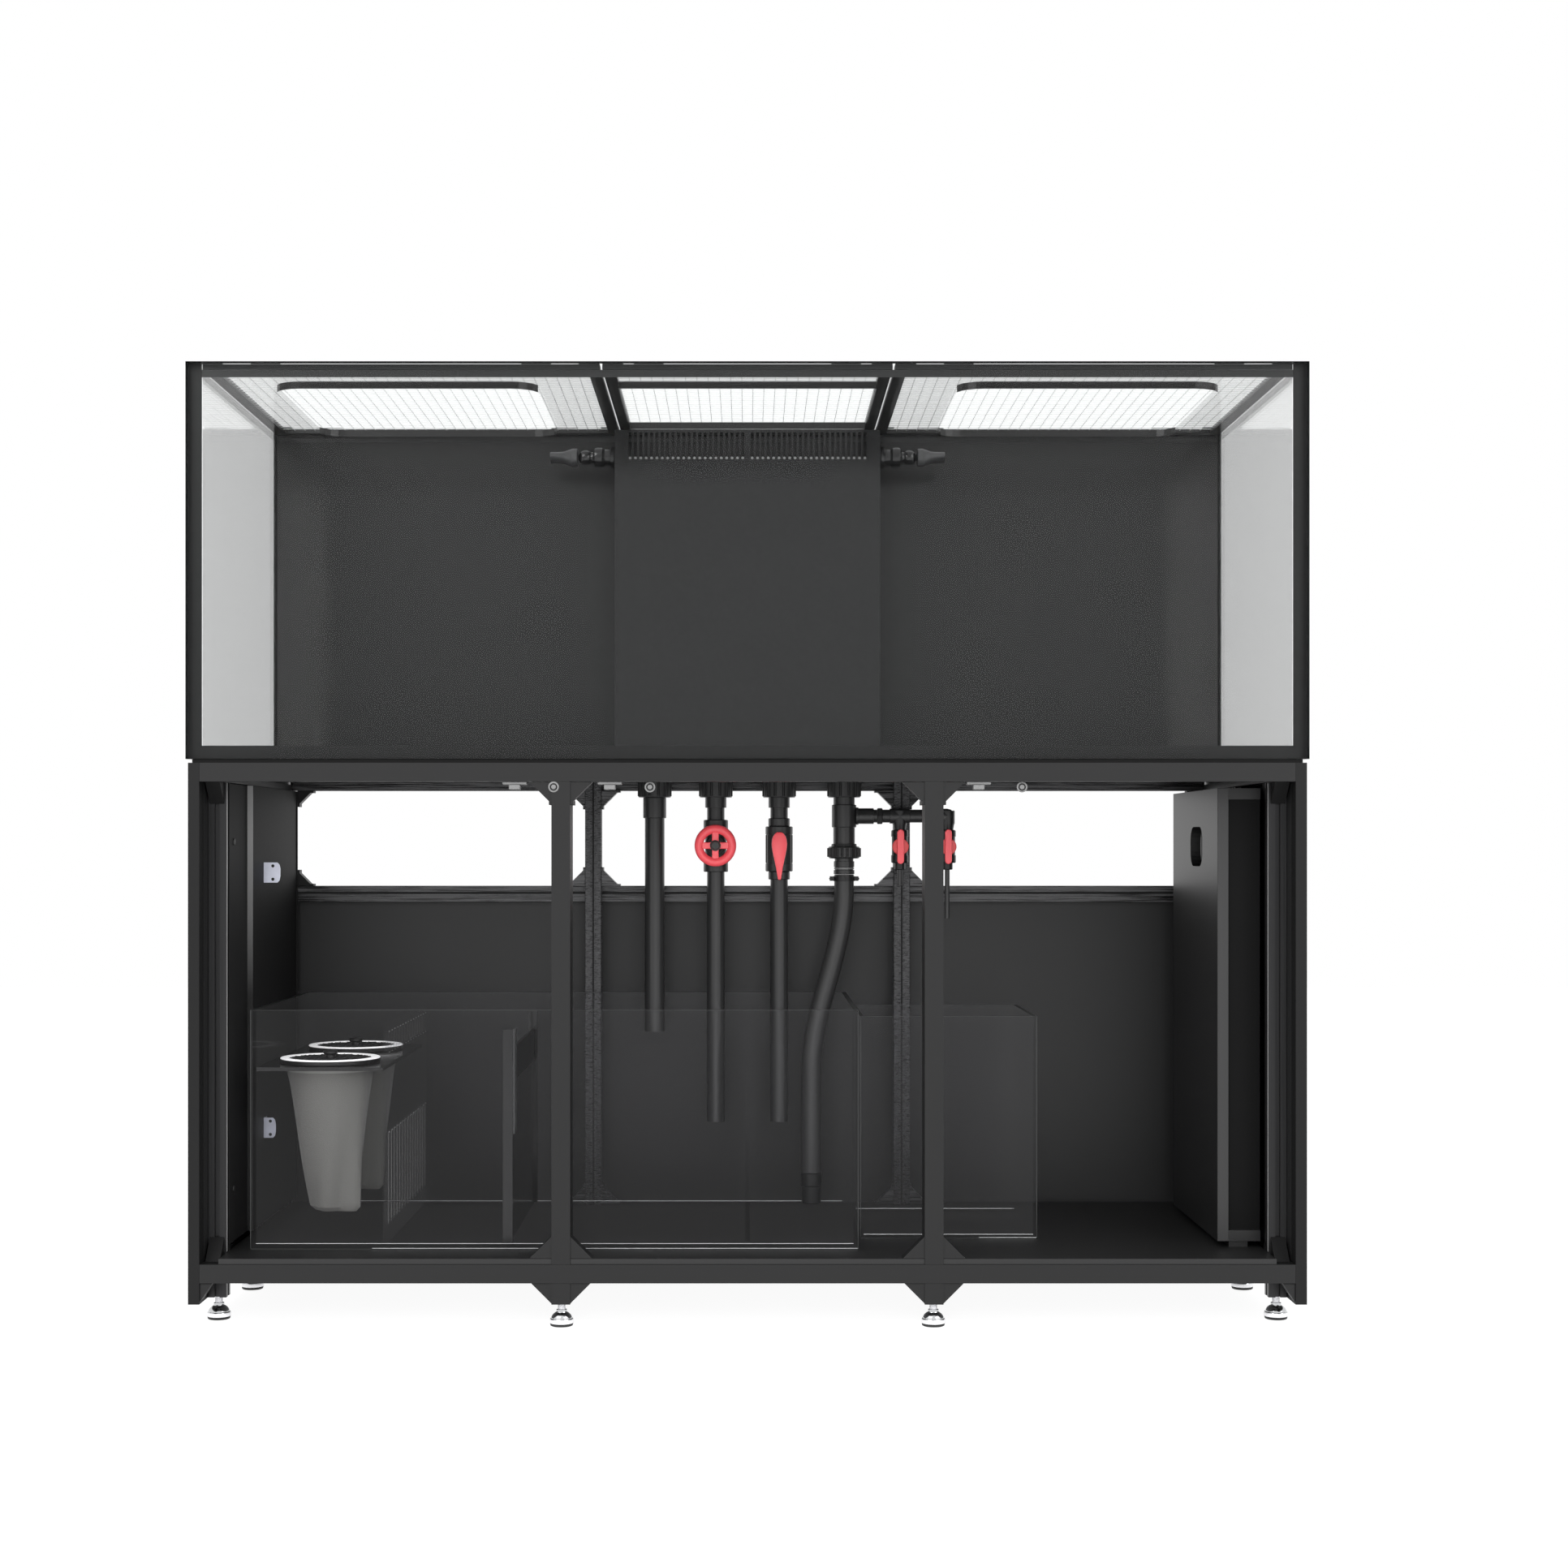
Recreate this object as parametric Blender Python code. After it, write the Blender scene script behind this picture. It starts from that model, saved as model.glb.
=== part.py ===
"""A rimless glass aquarium on an aluminium-framed cabinet, with its sump, plumbing and net covers.

Metres, +Z up. The origin is on the floor under the middle of the cabinet, and the front faces -Y.
"""

import math

import bmesh
import bpy
from mathutils import Vector

GAP = 0.0003  # clearance that separate pieces keep where they meet

# Overall size
LENGTH = 1.800
DEPTH = 0.650
FOOT_HEIGHT = 0.037
CABINET_TOP = 0.905
TANK_BASE = 0.911
TANK_TOP = 1.548
FRONT = -DEPTH / 2
BACK = DEPTH / 2
SIDE = LENGTH / 2

# Display tank
GLASS = 0.019
BRACE_THICK = 0.012
BRACE_TOP = 1.538
COVER_BAR = 0.020
COVER_THICK = 0.009
COVER_SPLIT = 0.236
OVERFLOW_HALF = 0.240
OVERFLOW_FRONT = 0.165
OVERFLOW_TOP = 1.5245
OVERFLOW_WALL = 0.008
COMB_SLOTS = 22
COMB_PITCH = 0.0097
NOZZLE_Y = 0.190
NOZZLE_Z = 1.478

# Cabinet
PANEL = 0.018
PANEL_OUTER = 0.896
PANEL_INNER = PANEL_OUTER - PANEL
TUBE = 0.030
TOP_RAIL = (CABINET_TOP - TUBE, CABINET_TOP)
MIDDLE_RAIL = (0.668, 0.698)
BOTTOM_RAIL = (0.071, 0.101)
FLOOR_TOP = 0.110
BACK_FRAME = 0.320
FRONT_POST_X = 0.299
BACK_POST_X = 0.285
SIDE_POSTS = (-0.264, 0.000, BACK_FRAME - TUBE)
GUSSET = 0.035
LOW_GUSSET = 0.032

# Sump, reservoir and control box
SUMP = (-0.815, 0.182, -0.235, 0.255, FLOOR_TOP + GAP, 0.502)
SUMP_WALL = 0.008
SOCK_WALL_X = -0.595
WEIR_X = -0.394
SOCK_PLATE_TOP = 0.408
SOCK_X = -0.702
SOCK_Y = {"front": -0.129, "rear": 0.130}
RESERVOIR = (0.190, 0.488, -0.126, 0.174, FLOOR_TOP + GAP, 0.484)
RESERVOIR_WALL = 0.006
CONTROL_BOX = (0.775, 0.846, -0.211, 0.195, 0.120, 0.867)
CONTROL_BOARD = 0.018

# Plumbing: every pipe stands at PIPE_Y
PIPE_Y = 0.225
DRAIN_X = -0.170
GATE_VALVE_X = -0.058
BALL_VALVE_X = 0.058
RETURN_X = 0.177
BORE = 0.0225
GATE_WHEEL_Z = 0.773
BALL_LEVER_Z = 0.771
MANIFOLD_Z = 0.827
MANIFOLD_VALVES = {"inner": 0.279, "outer": 0.366}
MANIFOLD_LEVER_Z = 0.771
HOSE_RADIUS = 0.018
HOSE_TOP = 0.720
HOSE_BOTTOM = 0.175
HOSE_FOOT_X = 0.117

FINISHES = {
    "clear_glass": ((0.78, 0.83, 0.83), 0.04, 0.0),
    "tinted_glass": ((0.42, 0.45, 0.46), 0.05, 0.0),
    "black_glass": ((0.010, 0.010, 0.011), 0.06, 0.0),
    "black_plastic": ((0.018, 0.018, 0.019), 0.32, 0.0),
    "black_board": ((0.026, 0.026, 0.027), 0.42, 0.0),
    "black_aluminium": ((0.045, 0.045, 0.047), 0.38, 0.9),
    "black_foam": ((0.015, 0.015, 0.015), 0.95, 0.0),
    "chrome": ((0.62, 0.63, 0.64), 0.15, 1.0),
    "grey_pipe": ((0.075, 0.078, 0.080), 0.35, 0.0),
    "red_plastic": ((0.72, 0.035, 0.045), 0.35, 0.0),
    "black_rubber": ((0.020, 0.020, 0.020), 0.60, 0.0),
    "white_felt": ((0.78, 0.78, 0.75), 0.95, 0.0),
}


# Shapes. Each returns a closed mesh in world coordinates.


def point_on(axis, along, u, v):
    """The point at a distance along an axis, with u and v on the other two axes in X, Y, Z order."""
    place = [u, v]
    place.insert("XYZ".index(axis), along)
    return Vector(place)


def loft(rings, closed=False):
    """A closed skin over rings with equal counts of points. A ring of one point is a tip.

    A closed loft joins its last ring to its first, as on a torus.
    """
    bm = bmesh.new()
    rows = [[bm.verts.new(point) for point in ring] for ring in rings]
    count = max(len(row) for row in rows)
    for lower, upper in zip(rows, rows[1:] + rows[:1] if closed else rows[1:]):
        for i in range(count):
            j = (i + 1) % count
            if len(lower) == 1:
                bm.faces.new((lower[0], upper[j], upper[i]))
            elif len(upper) == 1:
                bm.faces.new((lower[i], lower[j], upper[0]))
            else:
                bm.faces.new((lower[i], lower[j], upper[j], upper[i]))
    for end in (rows[0], rows[-1]):
        if len(end) > 2 and not closed:
            bm.faces.new(end)
    bmesh.ops.recalc_face_normals(bm, faces=bm.faces)
    mesh = bpy.data.meshes.new("shape")
    bm.to_mesh(mesh)
    bm.free()
    return mesh


def prism(axis, outline, start, end):
    """An outline extruded along an axis."""
    return loft([[point_on(axis, along, u, v) for u, v in outline] for along in (start, end)])


def block(x0, x1, y0, y1, z0, z1):
    return prism("Z", [(x0, y0), (x1, y0), (x1, y1), (x0, y1)], z0, z1)


def circle(u, v, radius, sides=24):
    """Points round a circle, anticlockwise."""
    turns = [2 * math.pi * (i + 0.5) / sides for i in range(sides)]
    return [(u + radius * math.cos(turn), v + radius * math.sin(turn)) for turn in turns]


def rounded_rectangle(u0, u1, v0, v1, radius, steps=5):
    """A rectangle's outline, anticlockwise, with each corner an arc."""
    outline = []
    corners = ((u1, v1), (u0, v1), (u0, v0), (u1, v0))
    for quarter, (u, v) in enumerate(corners):
        centre_u = u - radius if u == u1 else u + radius
        centre_v = v - radius if v == v1 else v + radius
        for step in range(steps + 1):
            turn = math.pi / 2 * (quarter + step / steps)
            outline.append((centre_u + radius * math.cos(turn), centre_v + radius * math.sin(turn)))
    return outline


def turned(axis, u, v, profile, sides=18, closed=False):
    """A turned solid. The profile is a list of (distance along the axis, radius)."""
    rings = []
    for along, radius in profile:
        if radius == 0:
            rings.append([point_on(axis, along, u, v)])
        else:
            rings.append([point_on(axis, along, *spot) for spot in circle(u, v, radius, sides)])
    return loft(rings, closed)


def mirrored(values, side):
    """A pair of X limits on the left (side -1) or the right (side 1), lowest first."""
    return sorted(side * value for value in values)


# Objects


def paint(obj, finish):
    """Gives an object its own Principled material."""
    colour, roughness, metallic = FINISHES[finish]
    material = bpy.data.materials.new(f"{obj.name}_{finish}")
    material.use_nodes = True
    shader = material.node_tree.nodes["Principled BSDF"]
    shader.inputs["Base Color"].default_value = (*colour, 1.0)
    shader.inputs["Roughness"].default_value = roughness
    shader.inputs["Metallic"].default_value = metallic
    if "glass" in finish and finish != "black_glass":
        shader.inputs["Transmission Weight"].default_value = 0.9
    material.diffuse_color = (*colour, 1.0)
    obj.data.materials.append(material)


def add_boolean(obj, operation, meshes):
    """Joins or cuts with a collection of hidden helper solids."""
    helpers = bpy.data.collections.new(f"{obj.name}_{operation.lower()}")
    bpy.context.scene.collection.children.link(helpers)
    for number, mesh in enumerate(meshes):
        helper = bpy.data.objects.new(f"{helpers.name}_{number}", mesh)
        helper.hide_render = True
        helper.display_type = "WIRE"
        helpers.objects.link(helper)
    modifier = obj.modifiers.new(operation.lower(), "BOOLEAN")
    modifier.operation = operation
    modifier.solver = "EXACT"
    modifier.operand_type = "COLLECTION"
    modifier.collection = helpers


def part(name, finish, shapes, cuts=(), origin=(0, 0, 0)):
    """One named piece: the shapes joined together, less the cuts, with its origin on its joint."""
    body = shapes[0]
    for vertex in body.vertices:
        vertex.co -= Vector(origin)
    body.name = name
    obj = bpy.data.objects.new(name, body)
    obj.location = origin
    bpy.context.scene.collection.objects.link(obj)
    if len(shapes) > 1:
        add_boolean(obj, "UNION", shapes[1:])
    if cuts:
        add_boolean(obj, "DIFFERENCE", cuts)
    body.shade_smooth()
    body.set_sharp_from_angle(angle=math.radians(35))
    paint(obj, finish)
    return obj


# Display tank


def bulkhead_bores():
    """Cutters for the four bulkheads through the mat and the bottom pane."""
    return [
        turned("Z", x, PIPE_Y, [(CABINET_TOP - 0.02, 0), (CABINET_TOP - 0.02, BORE),
                                (TANK_BASE + 0.04, BORE), (TANK_BASE + 0.04, 0)])
        for x in (DRAIN_X, GATE_VALVE_X, BALL_VALVE_X, RETURN_X)
    ]


def make_panes():
    inner_x = SIDE - GLASS
    inner_y = BACK - GLASS
    part("tank_bottom_pane", "clear_glass",
         [block(-inner_x + GAP, inner_x - GAP, -inner_y + GAP, inner_y - GAP, TANK_BASE, TANK_BASE + GLASS)],
         cuts=bulkhead_bores())
    part("tank_front_pane", "clear_glass", [block(-SIDE, SIDE, FRONT, -inner_y, TANK_BASE, TANK_TOP)])
    part("tank_back_pane", "black_glass", [block(-SIDE, SIDE, inner_y, BACK, TANK_BASE, TANK_TOP)])
    for name, side in (("left", -1), ("right", 1)):
        x0, x1 = mirrored((inner_x, SIDE), side)
        part(f"tank_{name}_pane", "clear_glass",
             [block(x0, x1, -inner_y + GAP, inner_y - GAP, TANK_BASE, TANK_TOP)])


def make_top_brace():
    """A glass sheet with two round-cornered openings and a square one over the overflow box."""
    low = BRACE_TOP - BRACE_THICK
    edge_x = SIDE - GLASS - GAP
    edge_y = BACK - GLASS - GAP
    openings = [block(-0.213, 0.213, -0.211, 0.165, low - 0.01, BRACE_TOP + 0.01)]
    for side in (-1, 1):
        x0, x1 = mirrored((0.346, 0.784), side)
        outline = rounded_rectangle(x0, x1, -0.211, 0.246, 0.045)
        openings.append(prism("Z", outline, low - 0.01, BRACE_TOP + 0.01))
    part("tank_top_brace", "clear_glass",
         [block(-edge_x, edge_x, -edge_y, edge_y, low, BRACE_TOP)], cuts=openings)


def make_overflow_box():
    """A black box open to the back pane, with a comb of slots in its front wall."""
    back = BACK - GLASS - GAP
    inner = OVERFLOW_HALF - OVERFLOW_WALL
    inner_front = OVERFLOW_FRONT + OVERFLOW_WALL
    outline = [(-OVERFLOW_HALF, back), (-OVERFLOW_HALF, OVERFLOW_FRONT), (OVERFLOW_HALF, OVERFLOW_FRONT),
               (OVERFLOW_HALF, back), (inner, back), (inner, inner_front), (-inner, inner_front),
               (-inner, back)]
    half_slot = COMB_PITCH * 0.28
    slots = []
    for side in (-1, 1):
        for number in range(COMB_SLOTS):
            x = side * (0.0085 + COMB_PITCH * number)
            slots.append(block(x - half_slot, x + half_slot, OVERFLOW_FRONT - 0.01, inner_front + 0.01,
                               1.4715, 1.5195))
    part("overflow_box", "black_plastic",
         [prism("Z", outline, TANK_BASE + GLASS + GAP, OVERFLOW_TOP)], cuts=slots)


def make_nozzles():
    """Each return nozzle: an elbow with a ball end, and a duckbill tip that tilts on the ball."""
    ball_x = 0.294
    ball = 0.0135
    for name, side in (("left", -1), ("right", 1)):
        profile = [(OVERFLOW_HALF + GAP, 0), (OVERFLOW_HALF + GAP, 0.020), (0.252, 0.020), (0.252, 0.015),
                   (0.260, 0.015), (0.266, 0.018), (0.276, 0.018), (0.279, 0.010)]
        for step in range(3, 13):
            turn = math.pi * (1 - step / 12)
            profile.append((ball_x + ball * math.cos(turn), ball * math.sin(turn) if step < 12 else 0))
        part(f"nozzle_elbow_{name}", "black_plastic",
             [turned("X", NOZZLE_Y, NOZZLE_Z, [(side * x, radius) for x, radius in profile], 20)],
             origin=(side * ball_x, NOZZLE_Y, NOZZLE_Z))
        sections = ((0.309, 0.0165, 0.0165), (0.322, 0.0165, 0.0165), (0.336, 0.017, 0.0125),
                    (0.357, 0.026, 0.0085))
        rings = []
        for x, half_y, half_z in sections:
            ring = circle(0, 0, 1, 20)
            rings.append([(side * x, NOZZLE_Y + half_y * u, NOZZLE_Z + half_z * v) for u, v in ring])
        part(f"nozzle_tip_{name}", "black_plastic", [loft(rings)],
             origin=(side * ball_x, NOZZLE_Y, NOZZLE_Z))


def make_covers():
    """Three bar frames, each with a thin net sheet across it."""
    edge_x = SIDE - GLASS - 0.002
    edge_y = BACK - GLASS - 0.002
    high = TANK_TOP
    low = high - COVER_THICK
    net_low = low + 0.0040
    net_high = net_low + 0.0010
    half_split = 0.002
    spans = {
        "left": (-edge_x, -COVER_SPLIT - half_split),
        "centre": (-COVER_SPLIT + half_split, COVER_SPLIT - half_split),
        "right": (COVER_SPLIT + half_split, edge_x),
    }
    for name, (x0, x1) in spans.items():
        window = (x0 + COVER_BAR, x1 - COVER_BAR, -edge_y + COVER_BAR, edge_y - COVER_BAR)
        pockets = [block(*window, low - 0.01, net_low), block(*window, net_high, high + 0.01)]
        part(f"cover_{name}", "black_aluminium", [block(x0, x1, -edge_y, edge_y, low, high)], cuts=pockets)


def make_mat():
    part("levelling_mat", "black_foam",
         [block(-SIDE + 0.010, SIDE - 0.010, FRONT + 0.003, BACK - 0.003, CABINET_TOP + GAP,
                TANK_BASE - GAP)],
         cuts=bulkhead_bores())


# Cabinet


def make_panels():
    for name, side in (("left", -1), ("right", 1)):
        x0, x1 = mirrored((PANEL_INNER, PANEL_OUTER), side)
        part(f"side_panel_{name}", "black_board", [block(x0, x1, FRONT, BACK, FOOT_HEIGHT, CABINET_TOP)])
    edge = PANEL_INNER - GAP
    part("back_panel", "black_board",
         [block(-edge, edge, BACK_FRAME + GAP, BACK, BOTTOM_RAIL[0], MIDDLE_RAIL[1])])


def make_floor():
    """The floor board, notched round the inner posts, with the control box's runner on it."""
    edge = PANEL_INNER - TUBE - GAP
    half = TUBE / 2 + GAP
    notches = []
    for side in (-1, 1):
        x = side * FRONT_POST_X
        notches.append(block(x - half, x + half, FRONT - 0.01, FRONT + 2 * TUBE + GAP, 0.09, 0.12))
        x = side * BACK_POST_X
        notches.append(block(x - half, x + half, BACK_FRAME - 2 * TUBE - GAP, BACK, 0.09, 0.12))
    board = block(-edge, edge, FRONT + 0.002, BACK_FRAME - TUBE - GAP, BOTTOM_RAIL[1] + GAP, FLOOR_TOP)
    runner = block(0.795, 0.826, -0.205, 0.190, FLOOR_TOP - 0.003, CONTROL_BOX[4] - GAP)
    part("floor_panel", "black_board", [board, runner], cuts=notches)


def make_rails():
    edge = PANEL_INNER - GAP
    for name, (z0, z1) in (("top", TOP_RAIL), ("bottom", BOTTOM_RAIL)):
        part(f"front_{name}_rail", "black_aluminium", [block(-edge, edge, FRONT, FRONT + TUBE, z0, z1)])
    edge = PANEL_INNER - TUBE - GAP
    for name, (z0, z1) in (("top", TOP_RAIL), ("middle", MIDDLE_RAIL), ("bottom", BOTTOM_RAIL)):
        part(f"back_{name}_rail", "black_aluminium",
             [block(-edge, edge, BACK_FRAME - TUBE, BACK_FRAME, z0, z1)])


def gusset_pair(x, z, size, y0, y1, down=1):
    """Two 45 degree gussets, one each side of a post, as one prism that runs through the post."""
    half = TUBE / 2
    bury = 0.001
    tip = z - down * (size + bury)
    outline = [(x - half - size, z), (x + half + size, z), (x + half - bury, tip), (x - half + bury, tip)]
    return prism("Y", outline, y0, y1)


def make_inner_posts():
    """The front posts pass behind the front rails; the back posts stand against the back rails."""
    half = TUBE / 2
    ease = 0.0005
    for name, side in (("left", -1), ("right", 1)):
        x = side * FRONT_POST_X
        rails = [block(x - 0.1, x + 0.1, FRONT - 0.01, FRONT + TUBE + GAP, z0 - GAP, z1 + GAP)
                 for z0, z1 in (TOP_RAIL, BOTTOM_RAIL)]
        y0 = FRONT + 0.002
        y1 = FRONT + TUBE - 0.002
        part(f"front_post_{name}", "black_aluminium",
             [block(x - half, x + half, FRONT, FRONT + 2 * TUBE, FOOT_HEIGHT, CABINET_TOP),
              gusset_pair(x, TOP_RAIL[0] - GAP - ease, GUSSET, y0, y1),
              gusset_pair(x, FLOOR_TOP + GAP + ease, GUSSET, y0, y1, down=-1),
              gusset_pair(x, BOTTOM_RAIL[0] - GAP - ease, LOW_GUSSET, y0, y1)],
             cuts=rails)
        x = side * BACK_POST_X
        y1 = BACK_FRAME - TUBE - GAP
        y0 = y1 - TUBE
        part(f"back_post_{name}", "black_aluminium",
             [block(x - half, x + half, y0, y1, FOOT_HEIGHT, CABINET_TOP),
              gusset_pair(x, TOP_RAIL[0], GUSSET, y0 + 0.002, y1 - 0.002),
              gusset_pair(x, MIDDLE_RAIL[1], GUSSET, y0 + 0.002, y1 - 0.002, down=-1)])


def make_side_frames():
    """Three posts and two rails at each side, joined at their corners."""
    for name, side in (("left", -1), ("right", 1)):
        x0, x1 = mirrored((PANEL_INNER - TUBE, PANEL_INNER - GAP), side)
        y0 = FRONT + TUBE + GAP
        plate = block(x0, x1, y0, BACK_FRAME, FOOT_HEIGHT, CABINET_TOP)
        windows = []
        ends = [y0 - 0.01, *(y for post in SIDE_POSTS for y in (post, post + TUBE))]
        for start, end in zip(ends[0::2], ends[1::2]):
            windows.append(block(x0 - 0.01, x1 + 0.01, start, end, BOTTOM_RAIL[1], TOP_RAIL[0]))
            windows.append(block(x0 - 0.01, x1 + 0.01, start, end, FOOT_HEIGHT - 0.01, BOTTOM_RAIL[0]))
        part(f"side_frame_{name}", "black_aluminium", [plate], cuts=windows)


def make_feet():
    """Ten levelling feet: a rubber pad, a domed cup and a threaded stem under each post."""
    profile = [(0, 0), (0, 0.0175), (0.002, 0.019), (0.010, 0.019), (0.0105, 0.0175), (0.0145, 0.0175),
               (0.019, 0.0150), (0.0225, 0.0100), (0.024, 0.0065), (FOOT_HEIGHT - GAP, 0.0065),
               (FOOT_HEIGHT - GAP, 0)]
    rows = {
        "corner_front": (PANEL_INNER - TUBE / 2, SIDE_POSTS[0] + TUBE / 2),
        "corner_middle": (PANEL_INNER - TUBE / 2, SIDE_POSTS[1] + TUBE / 2),
        "corner_back": (PANEL_INNER - TUBE / 2, SIDE_POSTS[2] + TUBE / 2),
        "inner_front": (FRONT_POST_X, FRONT + 0.0192),
        "inner_back": (BACK_POST_X, BACK_FRAME - 1.5 * TUBE),
    }
    for row, (x, y) in rows.items():
        for name, side in (("left", -1), ("right", 1)):
            part(f"foot_{row}_{name}", "chrome", [turned("Z", side * x, y, profile, 12)])


# Sump, reservoir and control box


def make_sump():
    """A glass box with the return chamber's partition bonded into it."""
    x0, x1, y0, y1, z0, z1 = SUMP
    wall = SUMP_WALL
    floor = z0 + wall
    cavities = [
        block(x0 + wall, -wall / 2, y0 + wall, y1 - wall, floor, z1 + 0.01),
        block(wall / 2, x1 - wall, y0 + wall, y1 - wall, floor, z1 + 0.01),
        block(-wall, wall, y0 + wall, y1 - wall, 0.400, z1 + 0.01),
    ]
    part("sump_tank", "tinted_glass", [block(*SUMP)], cuts=cavities)


def make_sock_wall():
    """The wall after the socks, with a comb along its top and a slotted grille low down."""
    half = SUMP_WALL / 2
    y0 = SUMP[2] + SUMP_WALL + GAP
    y1 = SUMP[3] - SUMP_WALL - GAP
    z0 = SUMP[4] + SUMP_WALL + GAP
    count = 15
    pitch = (y1 - y0) / count
    slots = []
    for number in range(count):
        y = y0 + pitch * (number + 0.5)
        for low, high in ((0.150, 0.300), (0.432, 0.466)):
            slots.append(block(SOCK_WALL_X - 0.02, SOCK_WALL_X + 0.02, y - 0.007, y + 0.007, low, high))
    part("sump_sock_wall", "tinted_glass",
         [block(SOCK_WALL_X - half, SOCK_WALL_X + half, y0, y1, z0, 0.480)], cuts=slots)


def make_weir():
    """A low wall with a U-rail at each end, and the gate that lifts in the rails."""
    y0 = SUMP[2] + SUMP_WALL + GAP
    y1 = SUMP[3] - SUMP_WALL - GAP
    z0 = SUMP[4] + SUMP_WALL + GAP
    wall_top = 0.380
    rail_top = 0.470
    groove = 0.003
    rail = 0.016
    lower = block(WEIR_X - groove, WEIR_X + groove, y0 + 0.005, y1 - 0.005, z0, wall_top)
    rails = [block(WEIR_X - 0.008, WEIR_X + 0.008, y0, y0 + rail, z0, rail_top),
             block(WEIR_X - 0.008, WEIR_X + 0.008, y1 - rail, y1, z0, rail_top)]
    grooves = [block(WEIR_X - groove, WEIR_X + groove, y0 + 0.003, y0 + 0.03, wall_top, rail_top + 0.01),
               block(WEIR_X - groove, WEIR_X + groove, y1 - 0.03, y1 - 0.003, wall_top, rail_top + 0.01)]
    part("sump_weir_wall", "tinted_glass", [lower, *rails], cuts=grooves)
    part("weir_gate", "black_plastic",
         [block(WEIR_X - groove + GAP, WEIR_X + groove - GAP, y0 + 0.0035, y1 - 0.0035, wall_top + GAP,
                0.435)],
         origin=(WEIR_X, 0, wall_top))


def make_socks():
    """The holder plate, and two felt bags that hang from their flanges in its holes."""
    y0 = SUMP[2] + SUMP_WALL + GAP
    y1 = SUMP[3] - SUMP_WALL - GAP
    x0 = SUMP[0] + SUMP_WALL + GAP
    x1 = SOCK_WALL_X - SUMP_WALL / 2 - GAP
    top = SOCK_PLATE_TOP
    holes = [prism("Z", circle(SOCK_X, y, 0.0745, 32), top - 0.02, top + 0.02) for y in SOCK_Y.values()]
    part("sock_holder", "tinted_glass", [block(x0, x1, y0, y1, top - 0.006, top)], cuts=holes)
    low = 0.170
    profile = [(low, 0), (low, 0.0365), (top - 0.006, 0.0715), (top + GAP, 0.0715), (top + GAP, 0.083),
               (top + 0.009, 0.083), (top + 0.009, 0.0685), (top - 0.006, 0.0685), (low + 0.004, 0.0335),
               (low + 0.004, 0)]
    for name, y in SOCK_Y.items():
        part(f"filter_sock_{name}", "white_felt", [turned("Z", SOCK_X, y, profile, 28)],
             origin=(SOCK_X, y, top))


def make_reservoir():
    x0, x1, y0, y1, z0, z1 = RESERVOIR
    wall = RESERVOIR_WALL
    cavity = block(x0 + wall, x1 - wall, y0 + wall, y1 - wall, z0 + wall, z1 + 0.01)
    part("ato_reservoir", "tinted_glass", [block(*RESERVOIR)], cuts=[cavity])


def make_control_box():
    """A tall narrow drawer with a sunk front panel, open at the back, and a hand hole through its left board."""
    x0, x1, y0, y1, z0, z1 = CONTROL_BOX
    board = CONTROL_BOARD
    sunk = 0.006
    panel = 0.012
    recess = block(x0 + board, x1 + 0.01, y0 - 0.01, y0 + sunk, z0 + board, z1 - board)
    inside = block(x0 + board, x1 - board, y0 + sunk + panel, y1 + 0.01, z0 + board, z1 - board)
    hand_hole = prism("X", rounded_rectangle(-0.081, 0.027, 0.737, 0.805, 0.026), x0 - 0.01, x0 + board + 0.005)
    part("control_box", "black_board", [block(*CONTROL_BOX)], cuts=[recess, inside, hand_hole],
         origin=(x0, y0, z0))


# Plumbing


def riser(standpipe_top, pipe_radius):
    """The upper profile of every pipe: the bulkhead through the tank bottom, and its standpipe."""
    return [(0.861, pipe_radius), (0.861, 0.030), (0.892, 0.030), (0.892, 0.026),
            (CABINET_TOP - GAP, 0.026), (CABINET_TOP - GAP, 0.021), (TANK_BASE + GLASS + GAP, 0.021),
            (TANK_BASE + GLASS + GAP, 0.030), (0.938, 0.030), (0.938, 0.0125), (standpipe_top, 0.0125),
            (standpipe_top, 0)]


def open_end(low, radius):
    """The lower profile of a drain pipe, with its bore open for a short way up."""
    return [(low + 0.060, 0), (low + 0.060, radius - 0.0028), (low, radius - 0.0028), (low, radius)]


def make_drain():
    part("drain_pipe", "grey_pipe",
         [turned("Z", DRAIN_X, PIPE_Y, open_end(0.433, 0.018) + riser(1.440, 0.018))])


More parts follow.
